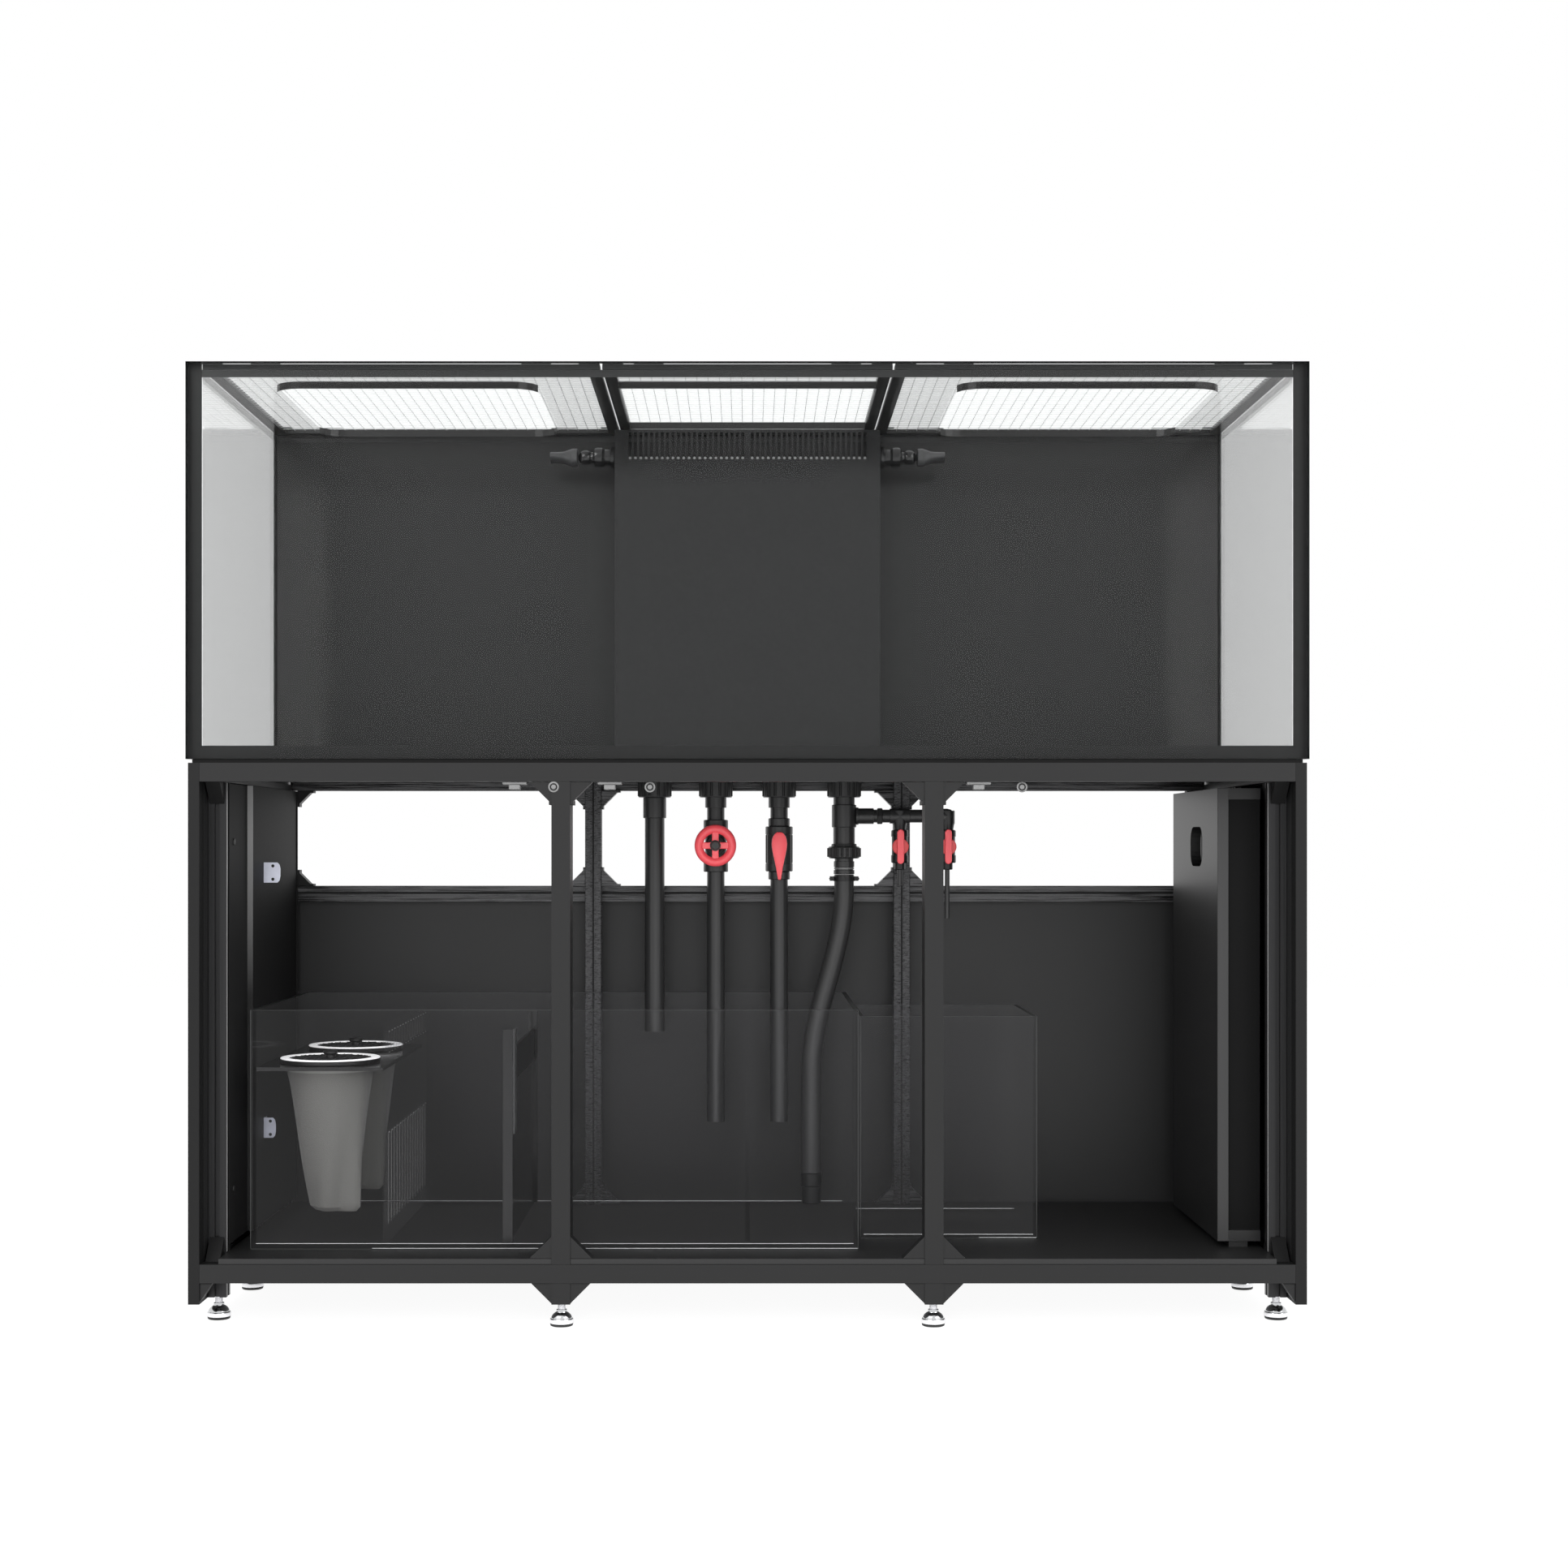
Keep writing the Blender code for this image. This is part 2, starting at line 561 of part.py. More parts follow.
def make_gate_valve():
    """The drain pipe with the gate valve, whose bonnet points forward, and its spoked handwheel."""
    x, z = GATE_VALVE_X, GATE_WHEEL_Z
    profile = open_end(0.268, 0.016) + [
        (0.727, 0.016), (0.727, 0.0225), (0.748, 0.0225), (0.752, 0.020), (0.794, 0.020), (0.798, 0.0225),
        (0.818, 0.0225), (0.818, 0.016)] + riser(1.400, 0.016)
    bonnet_tip = PIPE_Y - 0.038
    bonnet = turned("Y", x, z, [(PIPE_Y, 0), (PIPE_Y, 0.018), (PIPE_Y - 0.026, 0.018),
                                (PIPE_Y - 0.030, 0.011), (bonnet_tip, 0.011), (bonnet_tip, 0)])
    part("gate_valve_pipe", "grey_pipe", [turned("Z", x, PIPE_Y, profile), bonnet])

    wheel_y = 0.168
    outline = []
    for step in range(8):
        turn = 2 * math.pi * step / 8
        outline.append((wheel_y - 0.0065 * math.sin(turn), 0.0292 + 0.0085 * math.cos(turn)))
    rim = turned("Y", x, z, outline, 32, closed=True)
    hub = turned("Y", x, z, [(wheel_y - 0.007, 0), (wheel_y - 0.007, 0.0095), (bonnet_tip - GAP, 0.0095),
                             (bonnet_tip - GAP, 0)], 16)
    spokes = [block(x - 0.025, x + 0.025, wheel_y - 0.003, wheel_y + 0.003, z - 0.007, z + 0.007),
              block(x - 0.007, x + 0.007, wheel_y - 0.0031, wheel_y + 0.0031, z - 0.025, z + 0.025)]
    part("gate_handwheel", "red_plastic", [rim, hub, *spokes], origin=(x, wheel_y, z))


def capsule(x, z0, z1, radius_low, radius_high, steps=8):
    """The outline, in X and Z, round two discs on a vertical line: a lever's plate."""
    outline = []
    for start, z, radius in ((math.pi, z0, radius_low), (0, z1, radius_high)):
        for step in range(steps + 1):
            turn = start + math.pi * step / steps
            outline.append((x + radius * math.cos(turn), z + radius * math.sin(turn)))
    return outline


def make_ball_valve():
    """The drain pipe with the ball valve, and its teardrop lever."""
    x, z = BALL_VALVE_X, BALL_LEVER_Z
    profile = open_end(0.268, 0.016) + [
        (0.712, 0.016), (0.712, 0.0195), (0.726, 0.0195), (0.726, 0.025), (0.808, 0.025), (0.808, 0.0195),
        (0.822, 0.0195), (0.822, 0.016)] + riser(1.340, 0.016)
    boss_tip = PIPE_Y - 0.031
    boss = turned("Y", x, z, [(PIPE_Y, 0), (PIPE_Y, 0.0105), (boss_tip, 0.0105), (boss_tip, 0)], 16)
    part("ball_valve_pipe", "grey_pipe", [turned("Z", x, PIPE_Y, profile), boss])
    plate = prism("Y", capsule(x, 0.7135, 0.7845, 0.0035, 0.0140), boss_tip - 0.008, boss_tip - GAP)
    part("ball_valve_lever", "red_plastic", [plate], origin=(x, boss_tip, z))


def make_return():
    """The return pipe with its tee and union nut, the hose below it, and the fitting in the sump."""
    x = RETURN_X
    profile = [(HOSE_TOP + GAP, 0), (HOSE_TOP + GAP, 0.0195), (0.728, 0.0195), (0.728, 0.0170),
               (0.733, 0.0170), (0.733, 0.0190), (0.744, 0.0190), (0.744, 0.0270), (0.750, 0.0295),
               (0.773, 0.0295), (0.773, 0.0195), (0.806, 0.0195), (0.806, 0.0225), (0.848, 0.0225),
               (0.848, 0.0195)] + riser(1.460, 0.0195)
    part("return_pipe", "grey_pipe", [turned("Z", x, PIPE_Y, profile)])

    fitting_low = SUMP[4] + SUMP_WALL + GAP
    part("hose_fitting", "black_plastic",
         [turned("Z", HOSE_FOOT_X, PIPE_Y, [(fitting_low, 0), (fitting_low, 0.0175), (0.150, 0.0175),
                                            (0.150, 0.0195), (HOSE_BOTTOM - GAP, 0.0195),
                                            (HOSE_BOTTOM - GAP, 0)])])

    curve = bpy.data.curves.new("return_hose", "CURVE")
    curve.dimensions = "3D"
    curve.bevel_depth = HOSE_RADIUS
    curve.bevel_resolution = 3
    curve.use_fill_caps = True
    route = hose_route()
    spline = curve.splines.new("POLY")
    spline.points.add(len(route) - 1)
    for point, place in zip(spline.points, route):
        point.co = (*place, 1)
    hose = bpy.data.objects.new("return_hose", curve)
    bpy.context.scene.collection.objects.link(hose)
    paint(hose, "black_rubber")


def hose_route():
    """Points down the hose: straight, then a long S towards the sump's return chamber, then straight."""
    count = 16
    bend_top = 0.690
    bend_bottom = 0.360
    route = []
    for number in range(count + 1):
        z = HOSE_TOP + (HOSE_BOTTOM - HOSE_TOP) * number / count
        share = min(max((bend_top - z) / (bend_top - bend_bottom), 0), 1)
        eased = share * share * (3 - 2 * share)
        route.append((RETURN_X + (HOSE_FOOT_X - RETURN_X) * eased, PIPE_Y, z))
    return route


def make_manifold():
    """A side branch from the return tee with two small valves, and their bar levers."""
    outer = MANIFOLD_VALVES["outer"]
    start = RETURN_X + 0.0225 + GAP
    run = turned("X", PIPE_Y, MANIFOLD_Z, [(start, 0), (start, 0.0145), (0.232, 0.0145), (0.232, 0.0120),
                                           (0.238, 0.0165), (0.246, 0.0165), (0.250, 0.0120),
                                           (outer, 0.0120), (outer, 0)], 20)
    shapes = [run]
    for x in MANIFOLD_VALVES.values():
        top = MANIFOLD_Z + 0.0125
        tube_low = 0.640 if x == outer else 0.700
        tube = 0.0045
        shapes.append(turned("Z", x, PIPE_Y, [(tube_low, 0), (tube_low, tube), (0.728, tube),
                                              (0.728, 0.010), (0.741, 0.010), (0.741, 0.016),
                                              (0.801, 0.016), (0.801, 0.0135), (top, 0.0135), (top, 0)], 20))
        shapes.append(turned("Y", x, MANIFOLD_LEVER_Z, [(PIPE_Y, 0), (PIPE_Y, 0.008),
                                                        (PIPE_Y - 0.021, 0.008), (PIPE_Y - 0.021, 0)], 16))
    part("return_manifold", "grey_pipe", shapes)
    for name, x in MANIFOLD_VALVES.items():
        back = PIPE_Y - 0.021 - GAP
        z = MANIFOLD_LEVER_Z
        disc = prism("Y", circle(x, z, 0.0150), back - 0.004, back)
        bar = prism("Y", capsule(x, z - 0.0252, z + 0.0252, 0.00625, 0.00625, 6), back - 0.009, back - 0.002)
        part(f"manifold_lever_{name}", "red_plastic", [disc, bar], origin=(x, back, z))


def main():
    for obj in list(bpy.data.objects):
        bpy.data.objects.remove(obj)
    bpy.context.scene.unit_settings.system = "METRIC"
    make_panes()
    make_top_brace()
    make_overflow_box()
    make_nozzles()
    make_covers()
    make_mat()
    make_panels()
    make_floor()
    make_rails()
    make_inner_posts()
    make_side_frames()
    make_feet()
    make_sump()
    make_sock_wall()
    make_weir()
    make_socks()
    make_reservoir()
    make_control_box()
    make_drain()
    make_gate_valve()
    make_ball_valve()
    make_return()
    make_manifold()


main()
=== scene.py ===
"""The looks of a rimless aquarium on its stand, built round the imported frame. Metres, front towards -Y."""

import math
import random

import bmesh
import bpy
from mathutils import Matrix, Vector


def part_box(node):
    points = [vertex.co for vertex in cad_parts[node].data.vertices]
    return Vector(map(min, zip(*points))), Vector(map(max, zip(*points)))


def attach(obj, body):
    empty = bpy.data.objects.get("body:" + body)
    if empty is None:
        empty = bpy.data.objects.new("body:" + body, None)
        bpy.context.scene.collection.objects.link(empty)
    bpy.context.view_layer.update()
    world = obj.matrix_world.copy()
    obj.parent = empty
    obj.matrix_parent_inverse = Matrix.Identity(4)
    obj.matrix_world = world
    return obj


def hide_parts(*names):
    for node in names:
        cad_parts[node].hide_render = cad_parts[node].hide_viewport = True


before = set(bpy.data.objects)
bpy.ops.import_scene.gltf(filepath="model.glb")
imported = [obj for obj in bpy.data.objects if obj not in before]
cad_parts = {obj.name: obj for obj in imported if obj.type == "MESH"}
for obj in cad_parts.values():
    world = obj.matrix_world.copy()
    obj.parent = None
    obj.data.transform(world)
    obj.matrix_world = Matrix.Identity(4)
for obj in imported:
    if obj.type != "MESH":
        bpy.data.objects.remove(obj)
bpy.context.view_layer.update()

SMOOTH_SIDES = 56
TOUCH = 0.0002  # how far a thin strip lies off the face that it covers

TUBE = 0.030  # side of the cabinet's square extrusion
LEG = 0.035  # leg of a corner bracket
LINER = 0.0098  # thickness of the liner inside the left side frame
DRAWER_BOARD = 0.018
SIDE_POSTS_Y = (-0.249, 0.015, 0.305)
SIDE_RAIL_LOW = 0.071

NET_PITCH = 0.019
NET_STRAND = 0.0011

PIPE_Y = 0.225
DRAIN_X = -0.170
GATE_X = -0.058
BALL_X = 0.058
RETURN_X = 0.177
GATE_Z = 0.773
LEVER_Z = 0.771
MANIFOLD_Z = 0.827
MANIFOLD_VALVES = {"inner": 0.279, "outer": 0.366}
HOSE_END_X = 0.117
HOSE_RADIUS = 0.018


# Materials


def new_material(name):
    material = bpy.data.materials.new(name)
    material.use_nodes = True
    nodes = material.node_tree.nodes
    return material, nodes, material.node_tree.links, nodes["Principled BSDF"]


def surface(name, colour, roughness, metallic=0.0, scale=80.0, stretch=(1, 1, 1), bump=0.05, depth=0.0004,
            vary=0.18, specular=0.5, sheen=0.0, glow=0.0, contrast=1.0):
    """A solid finish whose colour, roughness and bump follow one noise pattern, stretched along any grain."""
    material, nodes, links, shader = new_material(name)
    place = nodes.new("ShaderNodeTexCoord")
    mapping = nodes.new("ShaderNodeMapping")
    mapping.inputs["Scale"].default_value = stretch
    noise = nodes.new("ShaderNodeTexNoise")
    noise.inputs["Scale"].default_value = scale
    noise.inputs["Detail"].default_value = 6.0
    pattern = nodes.new("ShaderNodeMapRange")
    pattern.inputs["From Min"].default_value = 0.5 - 0.5 / contrast
    pattern.inputs["From Max"].default_value = 0.5 + 0.5 / contrast
    tint = nodes.new("ShaderNodeMix")
    tint.data_type = "RGBA"
    tint.inputs["A"].default_value = (*(value * (1 - vary) for value in colour), 1)
    tint.inputs["B"].default_value = (*(min(value * (1 + vary), 1) for value in colour), 1)
    rough = nodes.new("ShaderNodeMapRange")
    rough.inputs["To Min"].default_value = roughness * (1 - vary)
    rough.inputs["To Max"].default_value = min(roughness * (1 + vary), 1)
    relief = nodes.new("ShaderNodeBump")
    relief.inputs["Strength"].default_value = bump
    relief.inputs["Distance"].default_value = depth
    links.new(place.outputs["Object"], mapping.inputs["Vector"])
    links.new(mapping.outputs["Vector"], noise.inputs["Vector"])
    links.new(noise.outputs["Fac"], pattern.inputs["Value"])
    links.new(pattern.outputs["Result"], tint.inputs["Factor"])
    links.new(pattern.outputs["Result"], rough.inputs["Value"])
    links.new(pattern.outputs["Result"], relief.inputs["Height"])
    links.new(tint.outputs["Result"], shader.inputs["Base Color"])
    links.new(rough.outputs["Result"], shader.inputs["Roughness"])
    links.new(relief.outputs["Normal"], shader.inputs["Normal"])
    shader.inputs["Metallic"].default_value = metallic
    shader.inputs["Specular IOR Level"].default_value = specular
    shader.inputs["Emission Color"].default_value = (*colour, 1)
    shader.inputs["Emission Strength"].default_value = glow
    shader.inputs["Sheen Weight"].default_value = sheen
    return material


def fading_painted_reflection(name, bright, dark, low, high):
    """A finish that goes from dark to bright between two heights: a painted reflection."""
    material = surface(name, bright, 0.40, scale=300, bump=0.06)
    nodes, links = material.node_tree.nodes, material.node_tree.links
    where = nodes.new("ShaderNodeNewGeometry")
    split = nodes.new("ShaderNodeSeparateXYZ")
    height = nodes.new("ShaderNodeMapRange")
    height.inputs["From Min"].default_value = low
    height.inputs["From Max"].default_value = high
    blend = nodes.new("ShaderNodeMix")
    blend.data_type = "RGBA"
    blend.inputs["A"].default_value = (*dark, 1)
    blend.inputs["B"].default_value = (*bright, 1)
    links.new(where.outputs["Position"], split.inputs["Vector"])
    links.new(split.outputs["Z"], height.inputs["Value"])
    links.new(height.outputs["Result"], blend.inputs["Factor"])
    links.new(blend.outputs["Result"], nodes["Principled BSDF"].inputs["Base Color"])
    return material


def mix_shaders(nodes, links, factor, first, second):
    mix = nodes.new("ShaderNodeMixShader")
    links.new(factor, mix.inputs["Fac"])
    links.new(first, mix.inputs[1])
    links.new(second, mix.inputs[2])
    return mix.outputs["Shader"]


def dark_rim(nodes, colour):
    """The shader of a glass sheet's cut edge."""
    rim = nodes.new("ShaderNodeBsdfPrincipled")
    rim.inputs["Base Color"].default_value = (*colour, 1)
    rim.inputs["Roughness"].default_value = 0.25
    return rim.outputs["BSDF"]


def test_normal(nodes, links, axis, operation, limit, either_way=False):
    """1 on the faces whose normal passes the test along an axis, and 0 on the others."""
    place = nodes.new("ShaderNodeTexCoord")
    split = nodes.new("ShaderNodeSeparateXYZ")
    test = nodes.new("ShaderNodeMath")
    test.operation = operation
    test.inputs[1].default_value = limit
    links.new(place.outputs["Normal"], split.inputs["Vector"])
    value = split.outputs[axis]
    if either_way:
        size = nodes.new("ShaderNodeMath")
        size.operation = "ABSOLUTE"
        links.new(value, size.inputs[0])
        value = size.outputs["Value"]
    links.new(value, test.inputs[0])
    return test.outputs["Value"]


def pane(name, tint, gloss, edge=None, axis="Y", painted_glow_strength=0.0, front_only=False):
    """Thin flat glass, across an axis: clear but for its tint and a faint glow of painted light, and
    mirror-like at a slant.

    Its cut edges may be dark, all of them or only those that face the front.
    """
    material, nodes, links, shader = new_material(name)
    nodes.remove(shader)
    clear = nodes.new("ShaderNodeBsdfTransparent")
    clear.inputs["Color"].default_value = (*tint, 1)
    # A faint emission that makes the glass glow: painted light.
    glow = nodes.new("ShaderNodeEmission")
    glow.inputs["Strength"].default_value = painted_glow_strength
    body = nodes.new("ShaderNodeAddShader")
    mirror = nodes.new("ShaderNodeBsdfGlossy")
    mirror.inputs["Roughness"].default_value = 0.02
    fresnel = nodes.new("ShaderNodeFresnel")
    fresnel.inputs["IOR"].default_value = 1.5
    share = nodes.new("ShaderNodeMath")
    share.operation = "MULTIPLY"
    share.inputs[1].default_value = gloss
    links.new(clear.outputs["BSDF"], body.inputs[0])
    links.new(glow.outputs["Emission"], body.inputs[1])
    links.new(fresnel.outputs["Fac"], share.inputs[0])
    look = mix_shaders(nodes, links, share.outputs["Value"], body.outputs["Shader"], mirror.outputs["BSDF"])
    if edge:
        if front_only:
            is_clear = test_normal(nodes, links, "Y", "GREATER_THAN", -0.3)
        else:
            is_clear = test_normal(nodes, links, axis, "GREATER_THAN", 0.7, either_way=True)
        look = mix_shaders(nodes, links, is_clear, dark_rim(nodes, edge), look)
    links.new(look, nodes["Material Output"].inputs["Surface"])
    return material


def thick_glass(name, tint, edge):
    """Refracting glass for the end panes, which are seen at a slant. Their cut front edges are dark."""
    material, nodes, links, shader = new_material(name)
    shader.inputs["Base Color"].default_value = (*tint, 1)
    shader.inputs["Roughness"].default_value = 0.0
    shader.inputs["IOR"].default_value = 1.5
    shader.inputs["Transmission Weight"].default_value = 1.0
    is_front = test_normal(nodes, links, "Y", "LESS_THAN", -0.7)
    look = mix_shaders(nodes, links, is_front, shader.outputs["BSDF"], dark_rim(nodes, edge))
    links.new(look, nodes["Material Output"].inputs["Surface"])
    return material


SOLIDS = {
    "sump_edge": dict(colour=(0.018, 0.019, 0.019), roughness=0.3, scale=40, bump=0.02),
    "faint_edge": dict(colour=(0.14, 0.14, 0.14), roughness=0.3, scale=40, bump=0.02),
    # Light grey for painted highlights on glass edges.
    "painted_edge_highlight": dict(colour=(0.42, 0.43, 0.43), roughness=0.3, scale=40, bump=0.02),
    "black_glass": dict(colour=(0.020, 0.020, 0.020), roughness=0.12, scale=3, bump=0.002, vary=0.04,
                        specular=0.18),
    "silicone": dict(colour=(0.004, 0.004, 0.004), roughness=0.40, scale=60, bump=0.10, specular=0.3),
    "acrylic": dict(colour=(0.0050, 0.0050, 0.0052), roughness=0.16, scale=12, bump=0.01, specular=0.45),
    "moulded": dict(colour=(0.0065, 0.0065, 0.0068), roughness=0.34, scale=420, bump=0.10, depth=0.0002),
    "board": dict(colour=(0.0085, 0.0085, 0.0087), roughness=0.42, scale=600, bump=0.03, depth=0.0001),
    "liner": dict(colour=(0.0100, 0.0100, 0.0102), roughness=0.62, specular=0.12, scale=600, bump=0.02,
                  depth=0.0001),
    # Darker than the board: painted shade for a recess.
    "recess_painted_shade": dict(colour=(0.0025, 0.0025, 0.0026), roughness=0.60, scale=600, bump=0.02, specular=0.14),
    "board_edge": dict(colour=(0.0035, 0.0035, 0.0036), roughness=0.55, scale=260, bump=0.10, specular=0.28),
    # The four extrusion finishes are one black aluminium. Their different tones are painted light and shade,
    # darkest on the side frames.
    "extrusion_x": dict(colour=(0.080, 0.080, 0.082), roughness=0.34, metallic=0.80, scale=90,
                        stretch=(0.12, 4, 4), bump=0.35, vary=0.60, contrast=3.5),
    "extrusion_y": dict(colour=(0.050, 0.050, 0.051), roughness=0.36, metallic=0.80, scale=90,
                        stretch=(4, 0.05, 4), bump=0.22, vary=0.45),
    "extrusion_z": dict(colour=(0.066, 0.066, 0.068), roughness=0.34, metallic=0.80, scale=130,
                        stretch=(1, 1, 4), bump=0.30, vary=0.45, contrast=3.0),
    "extrusion_side": dict(colour=(0.034, 0.034, 0.035), roughness=0.36, metallic=0.80, scale=90,
                           stretch=(4, 4, 0.05), bump=0.15, vary=0.30),
    "coated": dict(colour=(0.0060, 0.0060, 0.0062), roughness=0.46, specular=0.37, scale=520, bump=0.10,
                   depth=0.0002),
    "tape": dict(colour=(0.0200, 0.0200, 0.0204), roughness=0.46, scale=520, bump=0.04, depth=0.0001),
    # White strips that paint highlights on glass edges.
    "white_painted_highlight": dict(colour=(0.93, 0.93, 0.93), roughness=0.3, scale=40, bump=0.01, vary=0.02),
    "nozzle_tip": dict(colour=(0.030, 0.030, 0.031), roughness=0.40, scale=420, bump=0.05, depth=0.0001),
    "nozzle_ball": dict(colour=(0.0060, 0.0060, 0.0062), roughness=0.16, scale=420, bump=0.02, depth=0.0001),
    "cover_bar": dict(colour=(0.0055, 0.0055, 0.0058), roughness=0.38, scale=500, bump=0.08, depth=0.0002),
    "net": dict(colour=(0.62, 0.63, 0.63), roughness=0.45, scale=300, bump=0.05),
    "foam": dict(colour=(0.006, 0.006, 0.006), roughness=0.92, scale=900, bump=0.5, specular=0.2),
    "chrome": dict(colour=(0.60, 0.61, 0.62), roughness=0.13, metallic=1.0, scale=120, bump=0.02, vary=0.10),
    "rubber": dict(colour=(0.009, 0.009, 0.009), roughness=0.55, scale=300, bump=0.15),
    "pipe": dict(colour=(0.0240, 0.0242, 0.0246), roughness=0.30, scale=700, bump=0.02, depth=0.0001,
                 vary=0.12),
    "pipe_body": dict(colour=(0.0080, 0.0082, 0.0086), roughness=0.36, scale=700, bump=0.04, depth=0.0001),
    "hose": dict(colour=(0.0290, 0.0290, 0.0294), roughness=0.36, scale=30, stretch=(1, 1, 0.2), bump=0.01),
    "red": dict(colour=(0.86, 0.085, 0.105), roughness=0.33, scale=600, bump=0.06, depth=0.0002, vary=0.05),
    # The lever's red, darkened: painted shade.
    "red_painted_shade": dict(colour=(0.60, 0.045, 0.050), roughness=0.36, scale=600, bump=0.06, depth=0.0002,
                     vary=0.05),
    "felt": dict(colour=(0.112, 0.111, 0.105), roughness=0.95, scale=700, bump=0.7, depth=0.0010,
                 specular=0.15, sheen=0.15),
    # A white finish that also glows: painted highlight.
    "white_ring_painted_glow": dict(colour=(0.92, 0.92, 0.92), roughness=0.35, scale=200, bump=0.04, vary=0.05, glow=0.45),
    "band": dict(colour=(0.20, 0.20, 0.19), roughness=0.8, scale=500, bump=0.3, vary=0.10),
    "bright_metal": dict(colour=(0.84, 0.84, 0.86), roughness=0.32, metallic=0.5, scale=200, bump=0.02,
                         vary=0.04),
    "catch": dict(colour=(0.13, 0.13, 0.13), roughness=0.40, scale=300, bump=0.06),
    "zinc": dict(colour=(0.66, 0.68, 0.78), roughness=0.34, metallic=0.6, scale=60, bump=0.05),
}

FINISHES = {name: surface(name, **look) for name, look in SOLIDS.items()}
FINISHES.update({
    "front_glass": pane("front_glass", (0.985, 0.99, 0.99), 0.10, edge=(0.006, 0.007, 0.007), axis="Y"),
    "side_glass": thick_glass("side_glass", (0.985, 0.985, 0.985), (0.004, 0.004, 0.004)),
    "flat_glass": pane("flat_glass", (0.95, 0.95, 0.95), 0.20, edge=(0.006, 0.006, 0.006), front_only=True),
    "bottom_glass": pane("bottom_glass", (0.30, 0.31, 0.31), 0.50, edge=(0.003, 0.003, 0.003), axis="Z"),
    # The sump glass glows faintly: painted light.
    "sump_glass": pane("sump_glass", (0.955, 0.955, 0.96), 0.03, painted_glow_strength=0.0055),
    # Painted reflection for the joint strip of the left liner, bright at the top.
    "strip": fading_painted_reflection("strip", (0.22, 0.22, 0.22), (0.006, 0.006, 0.006), 0.52, 0.90),
})


# Shapes. Each is a bmesh in world coordinates, so that several can be joined into one piece.


def point_on(axis, along, u, v):
    """The point at a distance along an axis, with u and v on the other two axes in X, Y, Z order."""
    place = [u, v]
    place.insert("XYZ".index(axis), along)
    return Vector(place)


def add_loft(bm, rings, closed=False):
    """A closed skin over rings with equal counts of points; a ring of one point is a tip."""
    rows = [[bm.verts.new(point) for point in ring] for ring in rings]
    count = max(len(row) for row in rows)
    for lower, upper in zip(rows, rows[1:] + rows[:1] if closed else rows[1:]):
        for i in range(count):
            j = (i + 1) % count
            if len(lower) == 1:
                bm.faces.new((lower[0], upper[j], upper[i]))
            elif len(upper) == 1:
                bm.faces.new((lower[i], lower[j], upper[0]))
            else:
                bm.faces.new((lower[i], lower[j], upper[j], upper[i]))
    for end in (rows[0], rows[-1]):
        if len(end) > 2 and not closed:
            bm.faces.new(end)


def add_prism(bm, axis, outline, start, end):
    add_loft(bm, [[point_on(axis, along, u, v) for u, v in outline] for along in (start, end)])


def add_block(bm, x0, x1, y0, y1, z0, z1):
    """A box between two places on each axis, which may come in either order."""
    x0, x1 = sorted((x0, x1))
    y0, y1 = sorted((y0, y1))
    add_prism(bm, "Z", [(x0, y0), (x1, y0), (x1, y1), (x0, y1)], *sorted((z0, z1)))


def centre(node):
    """The middle of a CAD node's box, as plain numbers."""
    low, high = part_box(node)
    return [(a + b) / 2 for a, b in zip(low, high)]


def disc(start, end, radius):
    """The profile of a plain disc."""
    return [(start, 0), (start, radius), (end, radius), (end, 0)]


def circle(u, v, radius, sides=SMOOTH_SIDES):
    turns = [2 * math.pi * i / sides for i in range(sides)]
    return [(u + radius * math.cos(turn), v + radius * math.sin(turn)) for turn in turns]


def add_turned(bm, axis, u, v, profile, sides=SMOOTH_SIDES, closed=False):
    """A turned solid from a list of (distance along the axis, radius)."""
    rings = []
    for along, radius in profile:
        if radius == 0:
            rings.append([point_on(axis, along, u, v)])
        else:
            rings.append([point_on(axis, along, *spot) for spot in circle(u, v, radius, sides)])
    add_loft(bm, rings, closed)


def capsule(u, v0, v1, radius, steps=16):
    """The outline round two equal discs on one line along v."""
    outline = []
    for start, v in ((math.pi, v0), (0, v1)):
        for step in range(steps + 1):
            turn = start + math.pi * step / steps
            outline.append((u + radius * math.cos(turn), v + radius * math.sin(turn)))
    return outline


def make_piece(name, bm, finish, body="root", stands_for=(), bevel=0.0, smooth=True):
    """One visible piece from a bmesh, with its finish, riding on a body of the frame."""
    bmesh.ops.recalc_face_normals(bm, faces=bm.faces)
    mesh = bpy.data.meshes.new(name)
    bm.to_mesh(mesh)
    bm.free()
    if smooth:
        mesh.shade_smooth()
        mesh.set_sharp_from_angle(angle=math.radians(32))
    obj = bpy.data.objects.new(name, mesh)
    bpy.context.scene.collection.objects.link(obj)
    mesh.materials.append(FINISHES[finish])
    if bevel:
        add_bevel(obj, bevel)
    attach(obj, body)
    if stands_for:
        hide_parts(*stands_for)
    return obj


def add_bevel(obj, width, segments=2):
    modifier = obj.modifiers.new("edges", "BEVEL")
    modifier.width = width
    modifier.segments = segments
    modifier.limit_method = "ANGLE"
    modifier.angle_limit = math.radians(40)
    modifier.harden_normals = True


def finish_node(node, finish, bevel=0.0):
    """Gives a CAD node that shows as it is its finish, and eases its edges."""
    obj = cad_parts[node]
    obj.data.materials.clear()
    obj.data.materials.append(FINISHES[finish])
    if bevel:
        add_bevel(obj, bevel)


# Display tank


